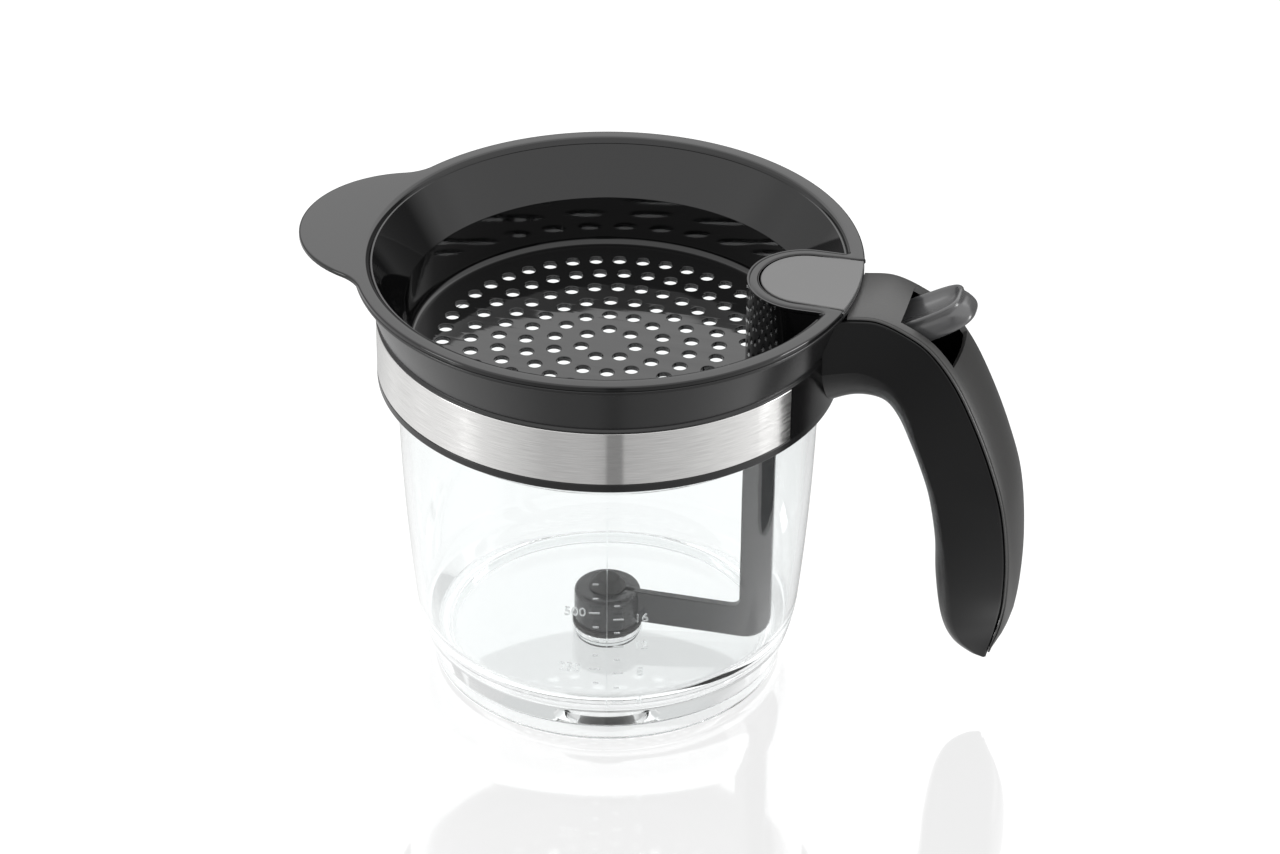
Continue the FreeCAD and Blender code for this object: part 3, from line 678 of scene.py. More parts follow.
# ------------------------------------------------------------------ clear jug
@dataclass
class ClearJug:
    """The clear jug: foot ring, flared bowl, leaning wall, rim inside the collar, floor drain."""

    foot_radius: float = 55.4
    foot_width: float = 2.6
    bowl_radius: float = 61.0
    bowl_height: float = 22.0
    neck_radius: float = 65.5
    neck_height: float = 98.0
    wall: float = 2.4
    rim_radius: float = 68.4
    rim_height: float = 114.5
    floor: float = 9.2
    drain: float = 8.0
    mark_depth: float = 0.25
    mark_sink: float = 0.3
    bar_tall: float = 0.45
    bar_long: float = 3.0
    bar_short: float = 1.6
    figure_size: float = 4.6

    def outside(self) -> Array:
        """The outer wall from the foot to the step under the rim.

        Returns:
            (radius, height) rows.
        """
        foot = (self.foot_radius + 0.6, 4.5)
        bowl = (self.bowl_radius, self.bowl_height)
        neck = (self.neck_radius, self.neck_height)
        return np.vstack([foot, bow(foot, bowl, 62.0, 8), bowl, bow(bowl, neck, 850.0, 10), neck])

    def outline(self) -> Array:
        """The whole wall's closed outline.

        Returns:
            (radius, height) rows, from the foot up the outside and back down.
        """
        inner_bowl = (self.bowl_radius - self.wall + 0.1, self.bowl_height + 0.6)
        inner_neck = (self.neck_radius - self.wall, self.neck_height + 1.0)
        floor_edge = (self.foot_radius - 11.0, self.floor)
        corners = [
            (self.foot_radius, 0.0, 0.5),
            *((r, z) for r, z in self.outside()[:-1]),
            (self.neck_radius, self.neck_height, 0.8),
            (self.rim_radius, self.neck_height + 3.2, 0.9),
            (self.rim_radius, self.rim_height, 0.7),
            (self.rim_radius - 2.2, self.rim_height, 0.7),
            (self.rim_radius - 2.2, self.neck_height + 4.6, 0.9),
            (*inner_neck, 0.8),
            *((r, z) for r, z in bow(inner_neck, inner_bowl, -848.0, 10)),
            inner_bowl,
            *((r, z) for r, z in bow(inner_bowl, floor_edge, -15.2, 12)),
            floor_edge,
            (self.drain + 1.8, self.floor - 2.0, 0.5),
            (self.drain, self.floor - 4.0, 0.4),
            (self.drain, 1.6, 0.4),
            (self.drain + 2.4, 1.6, 0.4),
            (self.drain + 2.4, self.floor - 5.0, 1.0),
            (self.foot_radius - self.foot_width - 0.5, self.floor - 3.8, 1.5),
            (self.foot_radius - self.foot_width, 0.0, 0.5),
        ]
        return rounded(corners, 4)

    def wrap(self, name: str, points: Array, faces: list[list[int]]) -> bpy.types.Object:
        """Lay a flat relief on the outer wall.

        A point (a, z, d), a in degrees round the axis, goes to the wall's radius at height z
        plus d, at angle a.

        Args:
            name: the relief's name.
            points: the flat relief's points.
            faces: its faces.

        Returns:
            The piece.
        """
        wall = self.outside()
        radius = np.interp(points[:, 1], wall[:, 1], wall[:, 0]) + points[:, 2]
        angle = np.radians(points[:, 0])
        laid = np.column_stack([on_circle(radius, angle), points[:, 1]])
        return make_piece(name, laid, faces, weighted=False)

    def ticks(self, name: str, angle: float, shift: float, heights: Array,
              long: Array) -> bpy.types.Object:
        """Raised bars on the wall, one for each height.

        Args:
            name: the piece's name.
            angle: angle of a long bar's middle, in degrees.
            shift: degrees from there to a short bar's middle.
            heights: height of each bar.
            long: whether each bar is a long one.

        Returns:
            The bars as one piece.
        """
        steps = 5
        middle = np.where(long, angle, angle + shift)[:, None, None]
        length = np.where(long, self.bar_long, self.bar_short)[:, None, None]
        ring = np.array([(-0.5, -self.mark_sink), (-0.5, self.mark_depth),
                         (0.5, self.mark_depth), (0.5, -self.mark_sink)])
        grid = np.stack(np.broadcast_arrays(
            middle + length * np.linspace(-0.5, 0.5, steps)[None, :, None],
            heights[:, None, None] + self.bar_tall * ring[:, 0], ring[:, 1]), -1)
        firsts = 4 * steps * np.arange(len(heights))[:, None, None]
        faces = (bar(steps)[None] + firsts).reshape(-1, 4)
        return self.wrap(name, grid.reshape(-1, 3), faces.tolist())

    def number(self, text: str, angle: float, height: float) -> bpy.types.Object:
        """A raised number on the wall, upright and centred at an angle and a height.

        Args:
            text: the number.
            angle: degrees round the axis.
            height: height of its middle.

        Returns:
            The piece.
        """
        letters = bpy.data.curves.new("figures " + text, "FONT")
        letters.body, letters.size = text, self.figure_size
        letters.align_x, letters.align_y = "CENTER", "CENTER"
        letters.extrude = 0.5 * (self.mark_depth + self.mark_sink)
        letters.resolution_u = 4
        spots, faces = shape_of(letters)
        wall = self.outside()
        around = np.degrees(spots[:, 0] / np.interp(height, wall[:, 1], wall[:, 0]))
        laid = np.stack([angle + around, height + spots[:, 1],
                         spots[:, 2] + 0.5 * (self.mark_depth - self.mark_sink)], 1)
        return self.wrap("mark_" + text, laid, faces)

    def mould_line(self) -> bpy.types.Object:
        """The fine upright line that the mould leaves on the wall between the two scales.

        Returns:
            The piece.
        """
        rings, angle, half, sink, proud = 40, -75.8, 0.13, -0.2, 0.10
        heights = np.linspace(13.0, 93.0, rings)
        line = np.stack([np.stack([np.full(rings, angle + side), heights,
                                   np.full(rings, depth)], 1)
                         for side, depth in ((-half, sink), (-half, proud), (half, proud),
                                             (half, sink))], 1)
        return self.wrap("mould_line", line.reshape(-1, 3), bar(rings).tolist())

    def build(self) -> None:
        """Build and dress the jug with its measuring marks."""
        jug = revolve("clear_wall", self.outline(), 240)
        dress(jug, "jug", Finish.CLEAR, "clear_plastic", "jug_body")
        ounces = np.array([18.1, 24.0, 30.0, 35.4, 40.7, 46.0, 51.2, 56.4])
        millilitres = np.array([20.5, 26.0, 31.6, 37.2, 42.7, 48.2, 53.7, 59.2, 64.7])
        marks = [
            self.ticks("ounce_ticks", -72.6, -0.4, ounces, np.arange(8) % 2 == 0),
            self.ticks("millilitre_ticks", -79.3, 0.4, millilitres, np.arange(9) % 4 == 2),
            *(self.number(text, -66.3, ounces[place])
              for text, place in (("16", 6), ("12", 4), ("8", 2), ("4", 0))),
            self.number("500", -84.6, millilitres[6]),
            self.number("250", -86.4, millilitres[2]),
            self.mould_line(),
        ]
        for mark in marks:
            dress(mark, "jug", Finish.MARKS, "clear_plastic")


# ------------------------------------------------------------------ collar
@dataclass
class Collar:
    """The black collar round the jug's rim, its skirt and flange, and the steel band."""

    lip_low: float = 102.5
    band_low: float = 105.3
    band_high: float = 123.2
    band_radius: float = 71.6
    band_sink: float = 0.9
    band_open: float = 25.5
    skirt_low_radius: float = 71.0
    skirt_top_radius: float = 76.3
    flange_low: float = 140.2
    flange_high: float = 141.6
    flange_radius: float = 78.0
    flange_bore: float = 74.8
    bore_low: float = 68.7
    bore_high: float = 66.4
    jug_stop: float = 114.8
    split: float = 118.0
    window_half: float = 5.9

    def build(self) -> None:
        """Build and dress the collar's rings, the band, and the handle's root in its gap."""
        seat = self.band_radius - self.band_sink
        lower = rounded([
            (self.bore_low, self.lip_low, 0.4), (self.band_radius, self.lip_low, 0.6),
            (self.band_radius, self.band_low, 0.25), (seat, self.band_low, 0.1),
            (seat, self.split), (self.bore_high, self.split),
            (self.bore_high, self.jug_stop, 0.3), (self.bore_low, self.jug_stop, 0.3),
        ])
        upper = rounded([
            (seat, self.split), (seat, self.band_high, 0.1),
            (self.band_radius, self.band_high, 0.25),
            (self.band_radius, self.band_high + 0.5, 0.3),
            (self.skirt_low_radius, self.band_high + 1.2, 0.3),
            (self.skirt_top_radius, self.flange_low), (self.flange_bore, self.flange_low),
            (67.8, 121.0, 1.5), (self.bore_high, self.split),
        ])
        flange = rounded([
            (self.skirt_top_radius - 1.2, self.flange_low),
            (self.flange_radius, self.flange_low, 0.35),
            (self.flange_radius, self.flange_high, 0.55),
            (self.flange_bore, self.flange_high, 0.3), (self.flange_bore, self.flange_low),
        ])
        pieces = [
            revolve("collar_lower", lower, 256),
            revolve("collar_skirt", upper, 256, self.window_half, 360 - self.window_half),
            revolve("collar_flange", flange, 256),
        ]
        for piece in pieces:
            dress(piece, "jug", Finish.COLLAR, "black_plastic", "handle_frame")
        band = rounded([(seat + 0.1, self.band_low + 0.12, 0.1),
                        (self.band_radius - 0.02, self.band_low + 0.12, 0.22),
                        (self.band_radius - 0.02, self.band_high - 0.12, 0.22),
                        (seat + 0.1, self.band_high - 0.12, 0.1)], 4)
        ring = revolve("steel_band", band, 260, self.band_open + 0.35, 359.65 - self.band_open)
        dress(ring, "jug", Finish.BAND, "band_steel", "collar_band")
        low, high = self.band_low - 0.2, self.band_high + 0.2
        block = rounded([(seat - 0.3, low), (self.band_radius, low), (self.band_radius, high),
                         (seat - 0.3, high)])
        root = revolve("band_block", block, 40, -self.band_open, self.band_open)
        dress(root, "jug", Finish.SHELL, "black_plastic")


# ------------------------------------------------------------------ handle
@dataclass
class Handle:
    """The pistol handle: a hollow shell, open at the back, under a crowned cover with a slot."""

    wall: float = 2.6
    lip: float = 0.9
    rows: int = 150
    belly_steps: int = 22
    half_width: float = 14.3
    cover_rows: int = 220
    cover_from: float = 77.0
    cover_to: float = 17.0
    cover_side: float = 0.15
    cover_corner: float = 0.6
    cover_crown: float = 2.5
    cover_gap: float = 0.42
    cover_wall: float = 1.3
    tongue: float = 0.39
    slot_half: float = 11.2
    slot_from: float = 92.3
    slot_to: float = 109.2

    def stations(self) -> Array:
        """Cross-sections from the root to the tip.

        Columns: outer edge x, z; inner edge x, z; half width outside, inside; share of the depth
        with a flat flank; crease angle at its end in degrees; bow of the section towards the jug.

        Returns:
            One row for each station along the smooth handle.
        """
        wide = self.half_width
        rows = np.array([
            (72.6, 138.6, 69.3, 101.6, wide, wide, 0.55, 26, 2.0),
            (77.5, 139.0, 72.4, 104.1, wide, wide, 0.55, 24, 1.0),
            (86.0, 139.6, 78.5, 107.0, wide, wide, 0.56, 16, 0.0),
            (94.5, 136.6, 84.5, 107.9, wide, wide, 0.60, 12, 0.0),
            (102.5, 131.4, 88.6, 107.0, wide, wide, 0.66, 10, 0.0),
            (110.0, 121.8, 92.2, 103.0, wide, wide, 0.72, 9, 0.0),
            (116.5, 109.0, 95.4, 97.0, wide, wide, 0.78, 9, 0.0),
            (122.6, 93.5, 99.0, 88.5, wide, wide, 0.80, 9, 0.0),
            (127.0, 78.0, 102.6, 77.4, wide, 14.2, 0.80, 9, 0.0),
            (128.9, 60.0, 105.3, 62.0, 12.5, 14.2, 0.78, 9, 0.0),
            (128.6, 44.0, 106.1, 47.0, 9.2, 13.1, 0.72, 8, 0.0),
            (126.9, 31.5, 108.2, 32.0, 4.0, 10.3, 0.70, 6, 0.0),
            (125.2, 23.5, 111.6, 23.0, 1.6, 6.6, 0.66, 0, 0.0),
            (123.6, 17.5, 117.4, 16.8, 1.1, 2.6, 0.60, 0, 0.0),
            (122.9, 14.6, 122.0, 14.6, 0.6, 0.7, 0.50, 0, 0.0),
        ], float)
        return smooth(rows, self.rows)

    def section(self, s: Array, inset: float) -> Array:
        """Half a cross-section at each station, from the outer edge to the belly's middle.

        The flank runs straight from the outer to the inner half width over its flat share of the
        depth; past it the half width falls to nothing along an ellipse, entered at the crease
        angle.

        Args:
            s: the stations.
            inset: how far the surface lies inside the outer one.

        Returns:
            (station, point, 3) coordinates on the +Y side.
        """
        ex, ez, ix, iz, w_out, w_in, flat, crease, bend = (s[:, k:k + 1] for k in range(9))
        depth = np.hypot(ix - ex, iz - ez)
        keep = np.maximum(1.0 - inset / np.maximum(depth, 0.5), 0.05)
        shrink = np.minimum(inset, 0.75 * w_out)
        along = np.linspace(0.0, 1.0, 9)[None, :]
        theta0 = np.radians(crease)
        theta = theta0 + (math.pi / 2 - theta0) * np.linspace(0.0, 1.0, self.belly_steps)[None, 1:]
        d = np.concatenate([flat * along,
                            flat + (1 - flat) * (np.sin(theta) - np.sin(theta0))
                            / (1 - np.sin(theta0))], 1)
        w = np.concatenate([w_out + (w_in - w_out) * along,
                            w_in * np.cos(theta) / np.cos(theta0)], 1)
        y = w
        if inset:
            belly = w * np.maximum(w_in - shrink, 0.12) / np.maximum(w_in, 0.13)
            y = np.where(d <= flat, np.maximum(w - shrink, 0.1), belly)
        v = d * keep
        x = ex + (ix - ex) * v - bend * 4 * v * (1 - v)
        z = ez + (iz - ez) * v
        return np.stack([x, y, z], -1)

    def shell(self) -> bpy.types.Object:
        """The hollow shell as one closed grid: its outer skin, the rounded outer half of its edge,
        a tongue that stands up inside the cover's rim, and its inner skin.

        Returns:
            The piece.
        """
        s = self.stations()
        outer = self.section(s, 0.0)
        inner = self.section(s, self.wall)
        away = unit(outer[:, 1] - outer[:, 0])
        t = np.linspace(0.0, math.pi / 2, 9)[None, :, None]
        out0, in0 = outer[:, :1], inner[:, :1]
        side = unit(in0 - out0)
        reach = np.minimum(self.lip, 0.4 * np.linalg.norm(in0 - out0, axis=-1, keepdims=True))
        edge_out = out0 + reach * (side * (1 - np.cos(t)) + away[:, None] * (1 - np.sin(t)))
        rise = away[:, None] * self.tongue
        half_way = 0.5 * (out0 + in0)
        half = np.concatenate([inner[:, :0:-1], in0 - rise, half_way - rise, half_way,
                               edge_out[:, ::-1], outer[:, 1:]], 1)
        other = half[:, ::-1] * np.array([1.0, -1.0, 1.0])
        loop = np.concatenate([half, other[:, 1:-1]], 1)
        return grid_piece("handle_shell", loop, crease=12.5)

    def cover(self) -> bpy.types.Object:
        """The cover on the shell's back edge, crowned across, with a slot for the lever.

        At each station the sheet rises from the shell's edge by the crown times (1 - u^2)^0.8 for
        u from -1 to 1 across, and turns down to the edge over its last half millimetre. Its
        inner face is the outer one set in by the wall.

        Returns:
            The piece.
        """
        s = smooth(self.stations(), self.cover_rows)
        edge = s[:, :2]
        run = np.gradient(edge, axis=0)
        normal = unit(np.stack([-run[:, 1], run[:, 0]], 1))
        normal = np.where((normal[:, :1] + normal[:, 1:]) < 0, -normal, normal)
        # the edge runs outwards over its first rows and comes back in near the handle's tip
        begin = int(np.searchsorted(edge[:, 0], self.cover_from))
        end = int(np.argmax((edge[:, 1] < self.cover_to) & (edge[:, 0] > 110)))
        edge, normal, width = edge[begin:end], normal[begin:end], s[begin:end, 4] - self.cover_side
        order, rising = np.arange(len(edge)), slice(0, 60)
        slot = np.interp((self.slot_from, self.slot_to), edge[rising, 0], order[rising])
        rows = np.sort(np.concatenate([order, slot]))
        place = [np.interp(rows, order, values) for values in (*edge.T, *normal.T, width)]
        edge, width = np.stack(place[:2], 1), place[4]
        normal = unit(np.stack(place[2:4], 1))
        share = np.linspace(0.0, 1.0, len(rows))
        crown = self.cover_crown * np.clip(0.45 + 1.3 * share, 0.0, 1.0) \
            * np.clip((1 - share) / 0.20, 0.15, 1.0)
        slot_side = self.slot_half / (self.half_width - self.cover_side)
        flat = np.concatenate([np.linspace(0, 0.76, 8), [slot_side], np.linspace(0.82, 0.955, 5)])
        turn = np.radians(np.linspace(8, 90, 7))
        corner = np.minimum(self.cover_corner, 0.35 * width)[:, None]
        u = np.concatenate([flat, np.ones(len(turn))])
        y = width[:, None] * u
        y[:, len(flat):] -= corner * (1 - np.sin(turn))
        rise = self.cover_gap + corner + crown[:, None] * (1 - np.minimum(u, 0.999) ** 2) ** 0.8
        rise[:, len(flat):] = self.cover_gap + corner * np.cos(turn)
        across = np.concatenate([-y[:, :0:-1], y], 1)[:, :, None]
        rise = np.concatenate([rise[:, :0:-1], rise], 1)[:, :, None]

        def sheet(inset: float) -> Array:
            """The sheet set in from its outer face.

            Args:
                inset: how far it is set in.

            Returns:
                (row, point, 3) coordinates.
            """
            shrink = np.minimum(inset, 0.6 * width)[:, None, None]
            up = np.maximum(rise - inset, self.cover_gap - 0.02)
            side = across * (1 - shrink / np.maximum(width, 0.1)[:, None, None])
            return np.concatenate([edge[:, None, :1] + normal[:, None, :1] * up, side,
                                   edge[:, None, 1:] + normal[:, None, 1:] * up], -1)

        both = np.stack([sheet(0.0), sheet(self.cover_wall)])
        count = both.shape[2]
        faces = quads(len(rows), count, False, False)
        middle = both[0].reshape(-1, 3)[faces].mean(1)
        row = rows[faces[:, 0] // count]
        cut = (np.abs(middle[:, 1]) < self.slot_half * 0.995) \
            & (row > slot[0] - 1e-6) & (row < slot[1] - 1e-6)
        keep = faces[~cut]
        size = len(rows) * count
        # the rims: every edge that only one kept face has joins the outer to the inner face
        sides = np.concatenate([keep[:, [k, (k + 1) % 4]] for k in range(4)])
        key = np.sort(sides, 1) @ (size, 1)
        _, first, many = np.unique(key, return_index=True, return_counts=True)
        rim = sides[first[many == 1]]
        walls = np.column_stack([rim, rim[:, ::-1] + size])
        everything = np.concatenate([keep, keep[:, ::-1] + size, walls])
        return make_piece("grip_cover", both.reshape(-1, 3), everything.tolist(), crease=40)

    def build(self) -> None:
        """Build and dress the handle."""
        dress(self.shell(), "jug", Finish.SHELL, "black_plastic", "handle_frame")
        dress(self.cover(), "jug", Finish.COVER, "cover_plastic", "handle_cover")


# ------------------------------------------------------------------ thumb lever
@dataclass
class ThumbLever:
    """The lever: a dished pad with a thick rounded rim, leaning out of the handle, and its arm."""

    pivot: tuple[float, float] = (90.0, 127.0)
    origin: tuple[float, float] = (104.0, 143.0)
    lean: float = 29.6
    middle: float = -8.0
    arm_half: float = 5.0

    def pad(self) -> bpy.types.Object:
        """The pad, as closed loops stacked from its underside over the rim into the dish.

        Each loop is |u / a|^n + |y / b|^n = 1 about the pad's middle, a reaching its outer end
        and b its half width, at its own height over the leaning plane of the rim. The inner
        ends of the loops lie inside the handle.

        Returns:
            The piece.
        """
        rows = np.array([
            # outer end, half width, height, squareness
            (-7.6, 0.2, -8.55, 2.6), (1.0, 5.0, -8.6, 2.6), (4.6, 7.4, -8.5, 2.7),
            (6.5, 8.4, -8.1, 2.8), (7.3, 8.95, -7.3, 2.9), (7.5, 9.15, -6.2, 3.0),
            (7.2, 9.1, -4.8, 3.0), (6.5, 8.85, -3.3, 3.1), (5.75, 8.45, -2.1, 3.2),
            (5.6, 8.42, -1.3, 3.3), (5.65, 8.45, -0.75, 3.4), (5.4, 8.3, -0.25, 3.4),
            (5.0, 8.0, 0.0, 3.4), (4.55, 7.6, -0.1, 3.4), (4.1, 7.15, -0.5, 3.4),
            (3.5, 6.6, -1.15, 3.3), (2.6, 5.7, -1.85, 3.2), (1.2, 4.5, -2.3, 3.0),
            (-1.6, 2.6, -2.6, 2.8), (-7.6, 0.2, -2.75, 2.6),
        ])
        rows = smooth(rows, 70)
        angle = np.linspace(0.0, 2 * math.pi, 121)[:-1]
        power = 2.0 / rows[:, 3:]
        cos, sin = np.cos(angle), np.sin(angle)
        u = (rows[:, :1] - self.middle) * np.sign(cos) * np.abs(cos) ** power + self.middle
        y = rows[:, 1:2] * np.sign(sin) * np.abs(sin) ** power
        v = rows[:, 2:3] + 0 * u
        tilt = math.radians(self.lean)
        grid = np.stack([self.origin[0] + u * math.cos(tilt) - v * math.sin(tilt), y,
                         self.origin[1] + u * math.sin(tilt) + v * math.cos(tilt)], -1)
        return grid_piece("thumb_pad", grid, crease=50)

    def arm(self) -> bpy.types.Object:
        """The arm from the pad round the pin to the nose in the lift rod's head.

        Returns:
            The piece.
        """
        px, pz = self.pivot
        nose = (57.05, 122.95)
        corners = [
            (px + 12.0, pz + 7.0, 2.0), (px + 8.0, pz + 9.4, 2.0), (px + 2.0, pz + 6.0, 3.0),
            (px - 4.0, pz + 4.6, 3.0), (px - 9.0, pz + 3.6, 3.0),
            (nose[0] + 4.0, nose[1] + 2.4, 3.0), (nose[0] - 2.4, nose[1] + 2.4, 2.3),
            (nose[0] - 2.4, nose[1] - 2.4, 2.3), (nose[0] + 4.0, nose[1] - 2.4, 3.0),
            (px - 9.0, pz - 5.0, 3.0), (px + 3.8, pz - 4.6, 3.0), (px + 10.0, pz + 3.2, 2.0),
        ]
        return slab("lever_arm", rounded(corners, 5), self.arm_half, 0.5)

    def build(self) -> None:
        """Build and dress the lever."""
        for piece in (self.pad(), self.arm()):
            dress(piece, "lever", Finish.LEVER, "lever_plastic", "thumb_lever")


# ------------------------------------------------------------------ mechanism housing
@dataclass
class MechanismHousing:
    """The cap over the lever's nose and the rod's head, with its skirt and closing spring."""

    centre: float = 62.0
    half: float = 14.2
    flare: float = 0.8
    lid_edge: float = 0.45
    top: float = 143.4
    low: float = 141.7
    outer_radius: float = 77.8
    skirt_wall: float = 1.8
    skirt_end: float = 64.6
    skirt_low: float = 117.0
    spring_at: float = 56.4
    spring_radius: float = 3.75
    spring_wire: float = 0.42
    spring_turns: float = 7.0
    spring_low: float = 128.45
    spring_high: float = 141.55

    def round_end(self, half: float) -> Array:
        """A half circle about the cap's centre, on the side of the jug's axis."""
        return (self.centre, 0.0) + on_circle(half, np.radians(np.linspace(90, 270, 61)))

    def plan(self, inset: float) -> Array:
        """The cap's plan: a half circle towards the jug's axis, straight sides, and an arc
        concentric with the rim, all set in by the inset.

        Args:
            inset: how far the plan is set in.

        Returns:
            Its (x, y) rows.
        """
        half, reach = self.half - inset, self.outer_radius - inset
        last = math.asin((half + self.flare) / reach)
        return np.vstack([self.round_end(half), on_circle(reach, np.linspace(-last, last, 25))])

    def lid(self) -> bpy.types.Object:
        """The lid: a slab whose edge is a quarter circle, as insets of its plan.

        Returns:
            The piece.
        """
        t = np.linspace(0.0, math.pi / 2, 5)
        insets = np.concatenate([[2.0, 0.25], self.lid_edge * (1 - np.cos(t)), [2.0, 6.0]])
        heights = np.concatenate([[self.low, self.low],
                                  self.top - self.lid_edge + self.lid_edge * np.sin(t),
                                  [self.top, self.top]])
        grid = np.stack([at_height(self.plan(i), z) for i, z in zip(insets, heights)])
        return grid_piece("cap_lid", grid, crease=40)

    def skirt(self) -> bpy.types.Object:
        """The horseshoe wall under the lid.

        Returns:
            The piece.
        """
        outer, inner = (np.vstack([(self.skirt_end, half), self.round_end(half),
                                   (self.skirt_end, -half)])
                        for half in (self.half - 0.4, self.half - 0.4 - self.skirt_wall))
        high = self.low + 0.1
        ring = [at_height(plan, z) for plan, z in ((outer, self.skirt_low), (outer, high),
                                                   (inner, high), (inner, self.skirt_low))]
        return grid_piece("cap_skirt", np.stack(ring, 1), crease=40)

    def spring(self) -> bpy.types.Object:
        """The closing spring: a round wire along a helix with flattened end turns.

        Returns:
            The piece.
        """
        wire = self.spring_wire
        t = np.linspace(0.0, 1.0, 420)
        rise = np.clip((t - 0.11) / 0.78, 0.0, 1.0)
        height = self.spring_low + wire + (self.spring_high - self.spring_low - 2 * wire) * rise
        angle = 2 * math.pi * self.spring_turns * t
        path = np.column_stack([(self.spring_at, 0.0) + on_circle(self.spring_radius, angle),
                                height])
        run = unit(np.gradient(path, axis=0))
        out = at_height(on_circle(1.0, angle), 0.0)
        up = np.cross(out, run)
        around = np.linspace(0.0, 2 * math.pi, 9)[:-1][None, :, None]
        grid = path[:, None] + wire * (np.cos(around) * out[:, None] + np.sin(around) * up[:, None])
        return grid_piece("spring_coil", grid, crease=60)

    def build(self, nodes: dict[str, bpy.types.Object]) -> None:
        """Build and dress the housing.

        Args:
            nodes: the part's own nodes.
        """
        dress(self.lid(), "jug", Finish.CAP, "cap_plastic", "mechanism_cap")
        dress(self.skirt(), "jug", Finish.COLLAR, "cap_plastic", "mechanism_cap")
        coil = dress(self.spring(), "jug", Finish.WIRE, "pin_steel", "closing_spring")
        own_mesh(coil)
        coat(nodes["rod_guide"], Finish.COLLAR)
        coat(nodes["lever_pin"], Finish.WIRE)


# ------------------------------------------------------------------ lift rod and stopper
@dataclass
class LiftRod:
    """The rod from the lever's nose down to the stopper that closes the floor drain."""

    thick: float = 3.0
    hub_radius: float = 10.6
    arm_low: float = 9.6
    arm_tall: float = 11.2
    stem: float = 4.2
    head_half: float = 5.4

    def build(self) -> None:
        """Build and dress the rod and the stopper."""
        low, high = self.arm_low, self.arm_low + self.arm_tall
        blade = rounded([
            (5.0, low), (53.4, low, 9.0), (53.4, 86.5, 4.0), (60.6, 96.5, 4.0), (60.6, 118.4),
            (50.6, 118.4), (50.6, 94.5, 4.0), (43.4, 84.5, 4.0), (43.4, high, 3.0), (5.0, high),
        ], 6)
        head = rounded([
            (52.2, 117.4, 0.4), (60.6, 117.4, 0.6), (60.6, 119.15), (56.25, 120.25),
            (53.85, 120.25, 0.3), (53.85, 125.65, 0.3), (60.6, 125.65), (60.6, 128.35, 0.5),
            (52.2, 128.35, 0.5),
        ], 4)
        hub = rounded([(self.stem + 0.1, low), (self.hub_radius, low, 0.8),
                       (self.hub_radius, high, 1.6), (self.stem + 0.1, high)], 6)
        for piece in (slab("rod_blade", blade, self.thick / 2, 0.55),
                      slab("rod_head", head, self.head_half, 0.35),
                      revolve("rod_hub", hub, 96)):
            dress(piece, "rod", Finish.ROD, "rod_plastic", "lift_rod")
        plug = rounded([
            (0.0, 4.6), (7.1, 4.6, 1.0), (9.5, 7.5, 0.5), (11.2, 7.7, 0.5), (11.2, 9.5, 0.5),
            (self.stem, 9.5), (self.stem, high + 0.1), (6.2, high + 0.1, 0.4), (3.6, 24.4, 1.2),
            (0.0, 24.4),
        ], 5)
        dress(revolve("stopper", plug, 96), "rod", Finish.RUBBER, "stopper_rubber",
              "stopper_plug")


